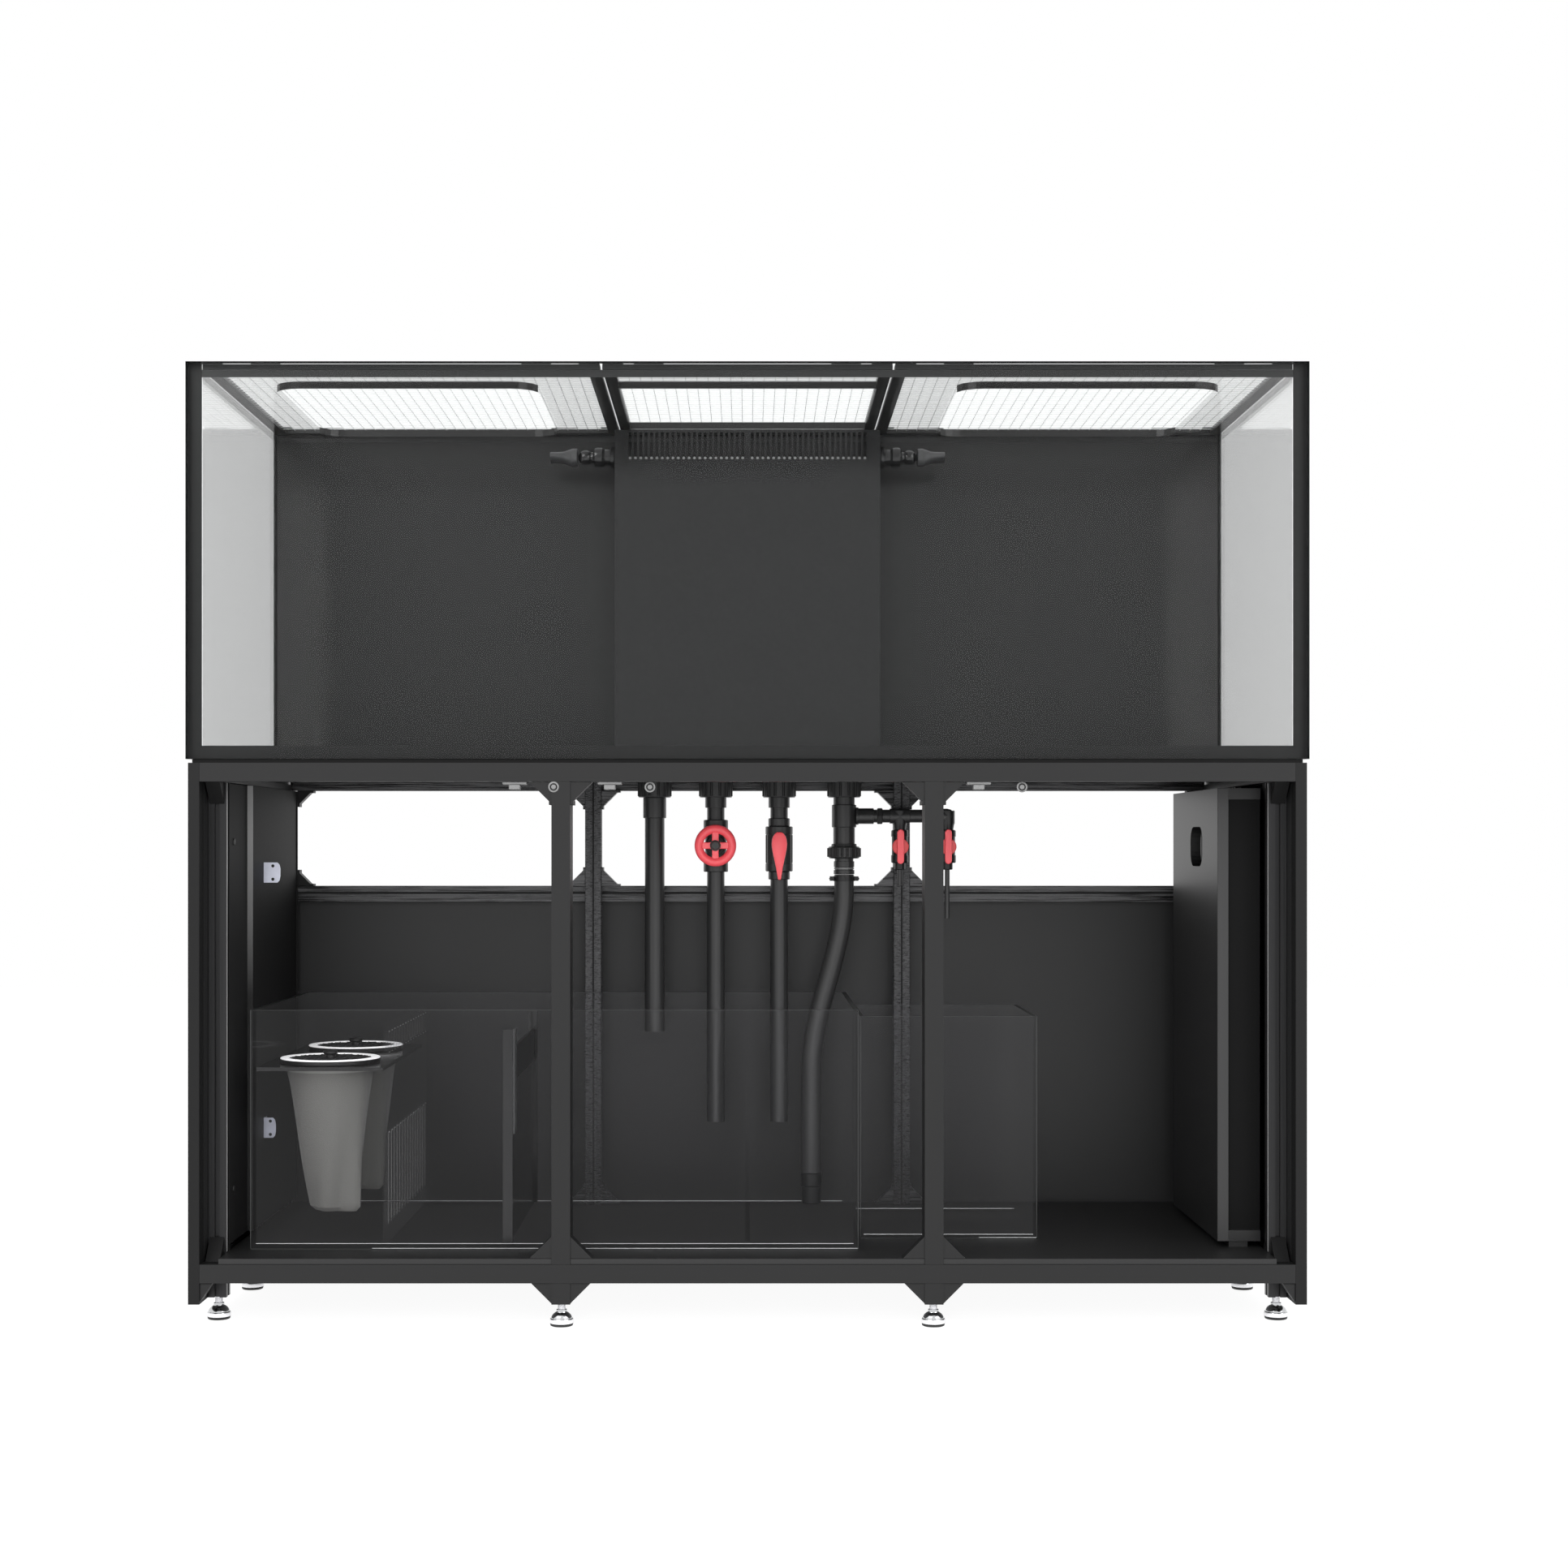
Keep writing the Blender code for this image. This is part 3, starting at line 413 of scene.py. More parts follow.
def dress_panes():
    """The panes keep their CAD shape; the silicone between and inside them is new."""
    finish_node("tank_front_pane", "front_glass")
    finish_node("tank_left_pane", "side_glass")
    finish_node("tank_right_pane", "side_glass")
    finish_node("tank_top_brace", "flat_glass")
    finish_node("tank_bottom_pane", "bottom_glass")
    finish_node("tank_back_pane", "black_glass", bevel=0.0008)

    left_low, left_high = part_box("tank_left_pane")
    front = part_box("tank_front_pane")[1].y
    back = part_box("tank_back_pane")[0].y
    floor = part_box("tank_bottom_pane")[1].z
    glass = left_high.x - left_low.x
    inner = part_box("tank_right_pane")[1].x - glass
    clear = 0.00005
    fillet = 0.0032
    bm = bmesh.new()
    for side in (-1, 1):
        face = side * inner
        edge = side * (inner + glass)
        add_block(bm, edge, face, front + clear, front + TOUCH, left_low.z, left_high.z)
        add_block(bm, edge, face, back - TOUCH, back - clear, left_low.z, left_high.z)
        for wall, into in ((front + TOUCH, 1), (back - TOUCH, -1)):
            outline = [(face, wall), (face - side * fillet, wall), (face, wall + into * fillet)]
            add_prism(bm, "Z", outline, floor, left_high.z)
        outline = [(face, floor), (face - side * fillet, floor), (face, floor + fillet)]
        add_prism(bm, "Y", outline, front + TOUCH, back - TOUCH)
    for wall, into in ((front + TOUCH, 1), (back - TOUCH, -1)):
        outline = [(wall, floor), (wall + into * fillet, floor), (wall, floor + fillet)]
        add_prism(bm, "X", outline, -inner, inner)
    add_block(bm, -inner, inner, front + clear, front + TOUCH, left_low.z, floor)
    make_piece("tank_silicone", bm, "silicone", smooth=False)


def make_corner_painted_highlights():
    """Painted highlights: thin white strips on the cut corners of the end panes, just behind the front pane.
    """
    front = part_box("tank_front_pane")[1].y
    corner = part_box("tank_left_pane")[1]
    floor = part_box("tank_bottom_pane")[1].z
    inner = abs(corner.x)
    bm = bmesh.new()
    for side in (-1, 1):
        add_block(bm, side * (inner - 0.0036), side * (inner - 0.0016), front + 0.0004, front + 0.0012,
                  floor + 0.001, corner.z - 0.001)
    make_piece("tank_corner_painted_highlights", bm, "white_painted_highlight", smooth=False)


def make_overflow():
    """The overflow box keeps its CAD shape. A light grey spot, a painted highlight, marks the foot of each
    slot in its comb.
    """
    finish_node("overflow_box", "acrylic", bevel=0.0006)
    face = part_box("overflow_box")[0].y
    slots_each_side, first, pitch, foot_z = 22, 0.0085, 0.0097, 1.4735
    spot = [(face - 0.0006, 0), (face - 0.0006, 0.0021), (face + 0.0005, 0.0025), (face + 0.0005, 0)]
    bm = bmesh.new()
    for number in range(slots_each_side):
        for side in (-1, 1):
            add_turned(bm, "Y", side * (first + pitch * number), foot_z, spot, 14)
    # Painted highlights at the slot feet.
    make_piece("overflow_slot_painted_highlights", bm, "catch")


def make_nozzle_elbow(name, side):
    """A ribbed collar on the overflow box, and the ball that the tip turns on."""
    node = f"nozzle_elbow_{name}"
    low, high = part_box(node)
    _, y, z = centre(node)
    base = low.x if side > 0 else -high.x
    ball_x, ball = 0.294, 0.0135
    profile = [(base, 0), (base, 0.0195), (base + 0.001, 0.0200), (base + 0.008, 0.0200),
               (base + 0.009, 0.0190), (base + 0.010, 0.0150), (0.259, 0.0145), (0.262, 0.0165),
               (0.2635, 0.0178), (0.272, 0.0182), (0.277, 0.0172), (0.279, 0.0140), (0.2805, 0.0105)]
    steps = 24
    for step in range(6, steps + 1):
        turn = math.pi * (1 - step / steps)
        profile.append((ball_x + ball * math.cos(turn), ball * math.sin(turn) if step < steps else 0))
    bm = bmesh.new()
    add_turned(bm, "X", y, z, [(side * x, radius) for x, radius in profile])
    make_piece(f"{node}_shell", bm, "nozzle_ball", node, [node])


def make_nozzle_tip(name, side):
    """A duckbill tip with a lip, which opens from round to wide and flat."""
    node = f"nozzle_tip_{name}"
    _, y, z = centre(f"nozzle_elbow_{name}")
    sections = ((0.3085, 0.0150, 0.0150), (0.3095, 0.0163, 0.0163), (0.319, 0.0165, 0.0165),
                (0.3205, 0.0152, 0.0152), (0.3250, 0.0150, 0.0142), (0.3315, 0.0165, 0.0112),
                (0.3390, 0.0195, 0.0102), (0.3480, 0.0230, 0.0098), (0.357, 0.0258, 0.0096))
    mouth = ((0.357, 0.0238, 0.0072), (0.342, 0.0180, 0.0070))
    bm = bmesh.new()
    add_loft(bm, [[(side * x, y + half_y * u, z + half_z * v) for u, v in circle(0, 0, 1)]
                  for x, half_y, half_z in sections + mouth])
    make_piece(f"{node}_shell", bm, "nozzle_tip", node, [node])


def make_cover(name):
    node = f"cover_{name}"
    make_cover_frame(node)
    make_cover_net(node)
    make_cover_clips(node)


COVER_BAR = 0.020


def make_cover_frame(node):
    """A flat bar frame whose top edge is eased."""
    low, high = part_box(node)
    middle = (low.x + high.x) / 2
    ease, lip = 0.001, 0.0015
    outer = [(low.x, low.y), (high.x, low.y), (high.x, high.y), (low.x, high.y)]
    inner = [(x + (COVER_BAR if x < middle else -COVER_BAR), y + (COVER_BAR if y < 0 else -COVER_BAR))
             for x, y in outer]
    bm = bmesh.new()
    add_loft(bm, [[(x, y, low.z) for x, y in outer], [(x, y, high.z - lip) for x, y in outer],
                  [(x + (ease if x < middle else -ease), y + (ease if y < 0 else -ease), high.z)
                   for x, y in outer],
                  [(x, y, high.z) for x, y in inner], [(x, y, low.z) for x, y in inner]], closed=True)
    make_piece(f"{node}_frame", bm, "cover_bar", node, [node], bevel=0.0006)


def make_cover_net(node):
    """A net of round strands in both directions, one layer on the other."""
    low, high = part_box(node)
    half = NET_STRAND / 2
    spans = {"X": (low.x + COVER_BAR, high.x - COVER_BAR), "Y": (low.y + COVER_BAR, high.y - COVER_BAR)}
    bm = bmesh.new()
    for along, across, z in (("X", "Y", (low.z + high.z) / 2), ("Y", "X", (low.z + high.z) / 2 + half)):
        start, end = spans[along]
        row_start, row_end = spans[across]
        count = round((row_end - row_start) / NET_PITCH)
        pitch = (row_end - row_start) / count
        for number in range(1, count):
            row = row_start + pitch * number
            outline = [(row + half * u, z + half * v) for u, v in circle(0, 0, 1, 6)]
            add_prism(bm, along, outline, start - 0.002, end + 0.002)
    make_piece(f"{node}_net", bm, "net", node)


def make_cover_clips(node):
    """Two clips over each long bar, and a thin plate at each corner."""
    low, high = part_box(node)
    corner = 0.034
    bm = bmesh.new()
    for share in (0.16, 0.84):
        x = low.x + (high.x - low.x) * share
        for y in (low.y, high.y - COVER_BAR):
            add_block(bm, x - 0.024, x + 0.024, y + 0.002, y + COVER_BAR - 0.002, high.z - 0.0006,
                      high.z + 0.0012)
            add_block(bm, x - 0.020, x + 0.020, y + 0.005, y + COVER_BAR + 0.004, low.z - 0.0004,
                      low.z + 0.0024)
    for x, x_end in ((low.x, low.x + corner), (high.x, high.x - corner)):
        for y, y_end in ((low.y, low.y + corner), (high.y, high.y - corner)):
            add_block(bm, x, x_end, y, y_end, high.z - 0.0004, high.z + 0.0008)
    make_piece(f"{node}_clips", bm, "moulded", node, bevel=0.0006)


def make_standpipe_caps():
    """Slotted caps on the standpipes inside the overflow box."""
    bars, reach = 8, 0.017
    bm = bmesh.new()
    for node in ("drain_pipe", "gate_valve_pipe", "ball_valve_pipe"):
        x = centre(node)[0]
        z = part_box(node)[1].z
        for u, v in circle(x, PIPE_Y, reach, bars):
            add_prism(bm, "Z", circle(u, v, 0.0035, 8), z - 0.045, z - 0.004)
        for at in (z - 0.049, z - 0.006):
            add_turned(bm, "Z", x, PIPE_Y, disc(at, at + 0.006, 0.021), 32)
    make_piece("standpipe_caps", bm, "moulded")


# Cabinet


def slotted_outline(u, v, slots):
    """A square extrusion's outline with T-slots on the chosen sides: R and L along u, T and B along v."""
    half = TUBE / 2
    chamfer = 0.0008
    mouth, lip, pocket, depth = 0.004, 0.002, 0.0065, 0.0070
    outline = []
    for quarter, letter in enumerate("RTLB"):
        side = [(half, chamfer - half)]
        if letter in slots:
            side += [(half, -mouth), (half - lip, -mouth), (half - lip, -pocket), (half - depth, -pocket),
                     (half - depth, pocket), (half - lip, pocket), (half - lip, mouth), (half, mouth)]
        side.append((half, half - chamfer))
        for a, b in side:
            for _ in range(quarter):
                a, b = -b, a
            outline.append((u + a, v + b))
    return outline


def make_back_frame():
    """Slotted rails across the back, and slotted posts in front of them with their gusset brackets."""
    for node in ("back_top_rail", "back_middle_rail", "back_bottom_rail"):
        low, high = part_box(node)
        _, y, z = centre(node)
        bm = bmesh.new()
        add_prism(bm, "X", slotted_outline(y, z, "LTB"), low.x, high.x)
        make_piece(f"{node}_extrusion", bm, "extrusion_x", stands_for=[node],
                   smooth=False)
    levels = ((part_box("back_top_rail")[0].z, 1), (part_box("back_middle_rail")[1].z, -1),
              (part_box("floor_panel")[0].z + 0.010, -1))
    for node in ("back_post_left", "back_post_right"):
        low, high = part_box(node)
        x, y, _ = centre(node)
        bm = bmesh.new()
        add_prism(bm, "Z", slotted_outline(x, y, "RLB"), low.z, high.z)
        make_piece(f"{node}_extrusion", bm, "extrusion_z", stands_for=[node],
                   smooth=False)
        bm = bmesh.new()
        for level, down in levels:
            for way in (-1, 1):
                add_bracket(bm, x + way * TUBE / 2, way, level, down, low.y + 0.003, high.y - 0.001)
        make_piece(f"{node}_brackets", bm, "extrusion_x", bevel=0.0006, smooth=False)


def make_groove_inserts():
    """Painted shade: dark strips deep in the grooves that face the front, and cover strips that leave a thin
    line of it showing.
    """
    short, half = 0.002, 0.0060
    # Dark strips that paint the shade in the grooves.
    painted_groove_shade = bmesh.new()
    rails = bmesh.new()
    for node in ("back_top_rail", "back_middle_rail", "back_bottom_rail"):
        low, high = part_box(node)
        x0, x1 = low.x + short, high.x - short
        z = centre(node)[2]
        add_block(painted_groove_shade, x0, x1, low.y + 0.0030, low.y + 0.0066, z - half, z + half)
        add_block(rails, x0, x1, low.y + 0.0014, low.y + 0.0026, z - 0.0037, z + 0.0002)
    posts = bmesh.new()
    for node in ("back_post_left", "back_post_right"):
        low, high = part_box(node)
        z0, z1 = low.z + short, high.z - short
        x = centre(node)[0]
        add_block(painted_groove_shade, x - half, x + half, low.y + 0.0030, low.y + 0.0066, z0, z1)
        for side in (-1, 1):
            add_block(posts, x + side * 0.0014, x + side * 0.0037, low.y + 0.0006, low.y + 0.0026, z0, z1)
    make_piece("groove_painted_shade", painted_groove_shade, "board_edge", smooth=False)
    make_piece("rail_inserts", rails, "extrusion_x", smooth=False)
    make_piece("post_inserts", posts, "extrusion_z", smooth=False)


def make_gusset_feet():
    """The square feet of the gussets at the top of the front posts."""
    foot = 0.0042
    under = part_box("front_top_rail")[0].z
    bm = bmesh.new()
    for node in ("front_post_left", "front_post_right"):
        low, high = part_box(node)
        middle = centre(node)[0]
        for way in (-1, 1):
            add_block(bm, middle + way * TUBE / 2, middle + way * (TUBE / 2 + foot), low.y + 0.001,
                      high.y - 0.001, under - 0.0375, under - 0.0305)
    make_piece("front_gusset_feet", bm, "coated", bevel=0.0004, smooth=False)


def make_rear_corner_brackets():
    """Cast brackets where the back rails meet the side frames, and plates that join the top rail to them."""
    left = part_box("side_frame_left")[1].x
    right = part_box("side_frame_right")[0].x
    middle_low, middle_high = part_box("back_middle_rail")
    top_low, top_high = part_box("back_top_rail")
    bm = bmesh.new()
    for x, way in ((left + LINER + 0.0006, 1), (right - TOUCH, -1)):
        for level, down in ((top_low.z, 1), (middle_high.z, -1)):
            add_bracket(bm, x, way, level, down, middle_low.y + 0.003, middle_high.y - 0.003, 0.030)
    for x in (left, right):
        add_block(bm, x - 0.004, x + 0.004, top_low.y + 0.010, top_low.y + 0.020, top_low.z + 0.002,
                  top_high.z + 0.004)
    make_piece("rear_corner_brackets", bm, "coated", bevel=0.0006, smooth=False)


def add_bracket(bm, x, way, level, down, y0, y1, leg=LEG, foot=0.004):
    """A cast corner bracket: a triangle with a square foot at each end of its slope."""
    slope = leg - 0.006
    outline = [(x, level), (x + way * leg, level), (x + way * leg, level - down * foot),
               (x + way * slope, level - down * foot), (x + way * foot, level - down * slope),
               (x + way * foot, level - down * leg), (x, level - down * leg)]
    add_prism(bm, "Y", outline, y0, y1)


def make_side_frames():
    """Three slotted posts and two slotted rails at each side, with brackets in their corners."""
    for side, inward in (("left", "R"), ("right", "L")):
        node = f"side_frame_{side}"
        low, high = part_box(node)
        x = centre(node)[0]
        rail_top, post_top = SIDE_RAIL_LOW + TUBE, high.z - TUBE
        bm = bmesh.new()
        for z in (high.z - TUBE / 2, SIDE_RAIL_LOW + TUBE / 2):
            add_prism(bm, "Y", slotted_outline(x, z, inward + "TB"), low.y, high.y)
        make_piece(f"{node}_rails", bm, "extrusion_y", stands_for=[node],
                   smooth=False)
        bm = bmesh.new()
        for y in SIDE_POSTS_Y:
            outline = slotted_outline(x, y, "TB" + inward)
            add_prism(bm, "Z", outline, rail_top, post_top)
            add_prism(bm, "Z", outline, low.z, SIDE_RAIL_LOW)
        make_piece(f"{node}_posts", bm, "extrusion_side", smooth=False)
        bm = bmesh.new()
        for y in SIDE_POSTS_Y:
            for way in (-1, 1):
                edge = y + way * TUBE / 2
                if abs(edge + way * LEG) > high.y:
                    continue
                for level, down in ((post_top, 1), (rail_top, -1)):
                    outline = [(edge, level), (edge + way * LEG, level), (edge, level - down * LEG)]
                    add_prism(bm, "X", outline, low.x + 0.003, high.x - 0.003)
        make_piece(f"{node}_brackets", bm, "board_edge", bevel=0.0006, smooth=False)


def dress_cabinet():
    """Finishes for the boards and the coated frame, which keep their CAD shape."""
    for side in ("left", "right"):
        finish_node(f"side_panel_{side}", "board_edge", bevel=0.0008)
        finish_node(f"front_post_{side}", "coated", bevel=0.0007)
    finish_node("back_panel", "board", bevel=0.0005)
    finish_node("floor_panel", "board", bevel=0.0006)
    finish_node("front_top_rail", "coated", bevel=0.0009)
    finish_node("front_bottom_rail", "coated", bevel=0.0009)
    finish_node("levelling_mat", "foam", bevel=0.0010)
    finish_node("control_box", "board", bevel=0.0009)


def make_panel_liners():
    """The glossy inner faces of the side panels, between the posts."""
    for side, way in (("left", 1), ("right", -1)):
        low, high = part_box(f"side_panel_{side}")
        face = high.x if way > 0 else low.x
        bm = bmesh.new()
        add_block(bm, face, face + way * TOUCH, low.y + 0.031, high.y - 0.006, 0.102, high.z - 0.031)
        make_piece(f"side_liner_{side}", bm, "board", bevel=0.0004)


def make_foot(node):
    """A rubber pad, a chrome cup with a bright ring, and a threaded stem."""
    x, y, _ = centre(node)
    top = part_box(node)[1].z
    parts = (
        ("pad", "rubber", [
            (0, 0), (0, 0.0165), (0.0008, 0.0180), (0.0035, 0.0186), (0.0042, 0.0180), (0.0042, 0)]),
        ("cup", "chrome", [
            (0.0042, 0), (0.0042, 0.0178), (0.0050, 0.0187), (0.0110, 0.0187), (0.0120, 0.0181),
            (0.0124, 0.0172),
            (0.0134, 0.0172), (0.0150, 0.0166), (0.0178, 0.0148), (0.0205, 0.0118), (0.0222, 0.0092),
            (0.0235, 0.0086), (0.0262, 0.0086), (0.0268, 0.0066), (0.0268, 0)]),
        ("ring", "bright_metal", [(0.0048, 0.0180), (0.0048, 0.0189), (0.0054, 0.0192), (0.0104, 0.0192),
                                  (0.0110, 0.0189), (0.0110, 0.0180)]))
    for name, finish, profile in parts:
        bm = bmesh.new()
        add_turned(bm, "Z", x, y, profile, closed=name == "ring")
        make_piece(f"{node}_{name}", bm, finish,
                   stands_for=[node] if name == "cup" else ())

    base, turns = 0.0266, 7
    stem = [(base, 0)]
    for step in range(turns):
        z = base + (top - base) * step / turns
        stem += [(z, 0.0055), (z + 0.0006, 0.0063)]
    stem += [(top, 0.0060), (top, 0)]
    bm = bmesh.new()
    add_turned(bm, "Z", x, y, stem, 28)
    make_piece(f"{node}_stem", bm, "bright_metal")


# Filtration


def make_sump():
    """The glass boxes and walls keep their CAD shape. Their dark edges, painted highlight lines and rails are
    added.
    """
    make_box_edges("sump_tank", 0.008)
    make_box_edges("ato_reservoir", 0.006)
    finish_node("sump_sock_wall", "sump_glass")
    finish_node("sump_weir_wall", "acrylic", bevel=0.0005)
    finish_node("weir_gate", "moulded", bevel=0.0006)
    finish_node("sock_holder", "acrylic", bevel=0.0006)
    make_slot_lines()

    low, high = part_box("sump_weir_wall")
    bm = bmesh.new()
    for y in (low.y + 0.004, low.y + 0.028):
        add_block(bm, high.x - 0.0004, high.x + 0.004, y, y + 0.008, low.z + 0.18, high.z)
    make_piece("weir_rail_faces", bm, "pipe", bevel=0.0006)


def make_box_edges(node, wall):
    """The dark rim and front edges of a glass box, and light lines round its bottom that are painted
    highlights on its glass edges.
    """
    finish_node(node, "sump_glass")
    low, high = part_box(node)
    rim = high.z + 0.0001, high.z + 0.0006
    ahead = low.y - 0.0004, low.y - 0.0001
    strip = 0.0012
    bm = bmesh.new()
    for y in (low.y, high.y - wall):
        add_block(bm, low.x, high.x, y, y + wall, *rim)
    for x, outer in ((low.x, low.x), (high.x - wall, high.x - strip)):
        add_block(bm, x, x + wall, low.y + wall, high.y - wall, *rim)
        add_block(bm, outer, outer + strip, *ahead, low.z, high.z)
    add_block(bm, low.x, high.x, *ahead, low.z, low.z + 0.0015)
    make_piece(f"{node}_edges", bm, "sump_edge", smooth=False)
    # Painted highlights: light lines along the bottom edges of the glass.
    bm = bmesh.new()
    for y in (low.y + wall, high.y - wall):
        add_block(bm, low.x + wall, high.x - wall, y - 0.0005, y + 0.0005, low.z + wall,
                  low.z + wall + 0.0009)
    add_block(bm, low.x + 0.2, high.x, *ahead, low.z + 0.0016, low.z + 0.0024)
    make_piece(f"{node}_painted_highlight_lines", bm, "painted_edge_highlight", smooth=False)


def make_slot_lines():
    """Faint lines where the cut edges of the sock wall's slots catch the light."""
    low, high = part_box("sump_sock_wall")
    slots = 15
    pitch = (high.y - low.y) / slots
    bm = bmesh.new()
    for number in range(slots):
        y = low.y + pitch * (number + 0.5)
        add_block(bm, high.x, high.x + 0.0003, y - 0.0070, y - 0.0062, 0.150, 0.300)
        for half, z0, z1 in ((0.005, 0.2995, 0.3010), (0.004, 0.4655, 0.4668), (0.004, 0.4315, 0.4323)):
            add_block(bm, high.x, high.x + 0.0008, y - half, y + half, z0, z1)
    make_piece("sock_wall_slot_lines", bm, "faint_edge", smooth=False)


def make_sock(name):
    """A felt bag under a moulded ring with a white rim, a dark mesh centre and a knob."""
    node = f"filter_sock_{name}"
    x, y, _ = centre(node)
    ring_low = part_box(node)[1].z - 0.0087
    parts = (
        ("ring", "moulded", True, [
            (0, 0.0700), (0, 0.0822), (0.0010, 0.0830), (0.0064, 0.0830), (0.0070, 0.0822), (0.0070, 0.0690),
            (0.0060, 0.0680)]),
        # The white rim glows as a painted highlight.
        ("rim", "white_ring_painted_glow", True, [(0.0071, 0.0690), (0.0071, 0.0829), (0.0083, 0.0829), (0.0088, 0.0820),
                                     (0.0088, 0.0696)]),
        ("knob", "moulded", False, [(0.0070, 0), (0.0070, 0.0085), (0.0120, 0.0080), (0.0135, 0.0105),
                                    (0.0150, 0.0120), (0.0185, 0.0118), (0.0200, 0.0100), (0.0204, 0)]),
        ("band", "band", True, [(-0.0008, 0.0732), (-0.0128, 0.0727), (-0.0128, 0.0748), (-0.0008, 0.0752)]))
    for part, finish, closed, profile in parts:
        bm = bmesh.new()
        add_turned(bm, "Z", x, y, [(ring_low + up, radius) for up, radius in profile],
                   40 if part == "knob" else SMOOTH_SIDES, closed)
        make_piece(f"{node}_{part}", bm, finish, node, [node] if part == "ring" else ())
    make_sock_mesh(node, x, y, ring_low)
    make_sock_bag(node, x, y, ring_low - 0.0005, random.Random(name))


def make_sock_mesh(node, x, y, ring_low):
    """The dark disc inside the ring, with a grid of thin bars on it."""
    half_bar, pitch, radius = 0.001, 0.0125, 0.068
    base = ring_low + 0.0065
    bm = bmesh.new()
    add_turned(bm, "Z", x, y, disc(ring_low + 0.0005, ring_low + 0.0070, 0.0690))
    for row in range(-5, 6):
        across = row * pitch
        reach = math.sqrt(radius ** 2 - across ** 2)
        add_block(bm, x - reach, x + reach, y + across - half_bar, y + across + half_bar, base,
                  ring_low + 0.0080)
        add_block(bm, x + across - half_bar, x + across + half_bar, y - reach, y + reach, base,
                  ring_low + 0.0082)
    make_piece(f"{node}_mesh", bm, "moulded", node)


def make_sock_bag(node, x, y, top, rng):
    """A tapering felt bag with a small flat base, slight ripples and one crease down its right front."""
    bottom, wall, lean = 0.160, 0.0016, 0.004
    top_radius, taper = 0.0735, 0.0420
    rows, sides = 34, 64
    phases = [rng.uniform(0, 2 * math.pi) for _ in range(4)]
    rings = []
    for inside in (False, True):
        for row in range(rows, -1, -1) if inside else range(rows + 1):
            share = row / rows
            z = top + (bottom - top) * share
            radius = top_radius - taper * share ** 1.05
            if row in (2, 3):
                radius += 0.0006
            if share > 0.97:
                radius -= 0.007 * ((share - 0.97) / 0.03) ** 2
            if inside:
                radius -= wall
                z = max(z, bottom + wall)
            squash = 1 + 0.10 * share ** 2
            ring = []
            for turn in (2 * math.pi * i / sides for i in range(sides)):
                ripple = 0.0014 * share * sum(math.sin((2 + k) * turn + phases[k] + 5 * share)
                                              for k in range(4))
                crease = 0.017 * share ** 0.8 * math.exp(-((turn - 5.75) / 0.30) ** 2)
                reach = radius + ripple + crease
                ring.append((x + reach * squash * math.cos(turn) + lean * share,
                             y + reach / squash * math.sin(turn), z))
            rings.append(ring)
    bm = bmesh.new()
    add_loft(bm, rings)
    make_piece(f"{node}_bag", bm, "felt", node)


# Plumbing


def bulkhead(radius, top):
    """The nut below the tank bottom, the neck through it, the flange above it and the standpipe."""
    return [(0.861, radius), (0.861, 0.0285), (0.8622, 0.0300), (0.8905, 0.0300), (0.8920, 0.0285),
            (0.8922, 0.0255), (0.9045, 0.0255), (0.9047, 0.0205), (0.9305, 0.0205), (0.9305, 0.0285),
            (0.9320, 0.0300), (0.9370, 0.0300), (0.9382, 0.0280), (0.9384, 0.0165), (0.9460, 0.0165),
            (0.9465, 0.0125), (top, 0.0125), (top, 0.0100), (top - 0.010, 0.0100), (top - 0.010, 0)]


def collar(start, end, radius, ease=0.0012):
    """A socket end with eased rims."""
    return [(start, radius - ease), (start + ease, radius), (end - ease, radius), (end, radius - ease)]


def make_nut_ribs(name, x, low, high, radius, count=12):
    """Round ribs side by side round a nut or a valve body."""
    bm = bmesh.new()
    for step in range(count):
        turn = 2 * math.pi * (step + 0.5) / count
        u, v = x + radius * math.cos(turn), PIPE_Y + radius * math.sin(turn)
        add_prism(bm, "Z", circle(u, v, 0.0026, 10), low, high)
    make_piece(name, bm, "pipe_body")


def make_run(name, node, x, profile, neck=0.0195):
    """A pipe and its fittings, turned in one run up to the top of its standpipe."""
    bm = bmesh.new()
    add_turned(bm, "Z", x, PIPE_Y, profile + bulkhead(neck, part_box(node)[1].z))
    make_piece(name, bm, "pipe", stands_for=[node])


def open_end(low, radius, wall, depth=0.020):
    """The hollow lower end of a pipe."""
    return [(low + depth, 0), (low + depth, radius - wall), (low, radius - wall), (low, radius)]


def make_drain_pipes():
    """The main drain, the two drains with valves, and the ribs of all four nuts below the tank."""
    profile = open_end(0.433, 0.0180, 0.0028) + [(0.823, 0.0180)] + collar(0.823, 0.861, 0.0212)
    make_run("drain_pipe_run", "drain_pipe", DRAIN_X, profile, neck=0.0212)
    make_gate_valve()
    make_ball_valve()
    for number, x in enumerate((DRAIN_X, GATE_X, BALL_X, RETURN_X)):
        make_nut_ribs(f"bulkhead_ribs_{number}", x, 0.8635, 0.8895, 0.0292)


def make_gate_valve():
    """The drain with a gate valve between two sockets, and the bonnet that its wheel turns on."""
    profile = open_end(0.268, 0.0160, 0.0025) + [(0.725, 0.0160)]
    profile += collar(0.725, 0.748, 0.0225) + [(0.7485, 0.0196), (0.797, 0.0196)]
    profile += collar(0.7975, 0.820, 0.0225) + [(0.8205, 0.0160), (0.842, 0.0160)]
    profile += [(0.8425, 0.0195), (0.861, 0.0195)]
    make_run("gate_valve_run", "gate_valve_pipe", GATE_X, profile)
    bm = bmesh.new()
    add_turned(bm, "Y", GATE_X, GATE_Z, [
        (PIPE_Y, 0), (PIPE_Y, 0.0195), (0.2075, 0.0195), (0.2070, 0.0180), (0.2000, 0.0180), (0.1990, 0.0172),
        (0.1988, 0.0125), (0.1885, 0.0110), (0.1872, 0.0100), (0.1872, 0)])
    make_piece("gate_valve_bonnet", bm, "pipe_body")


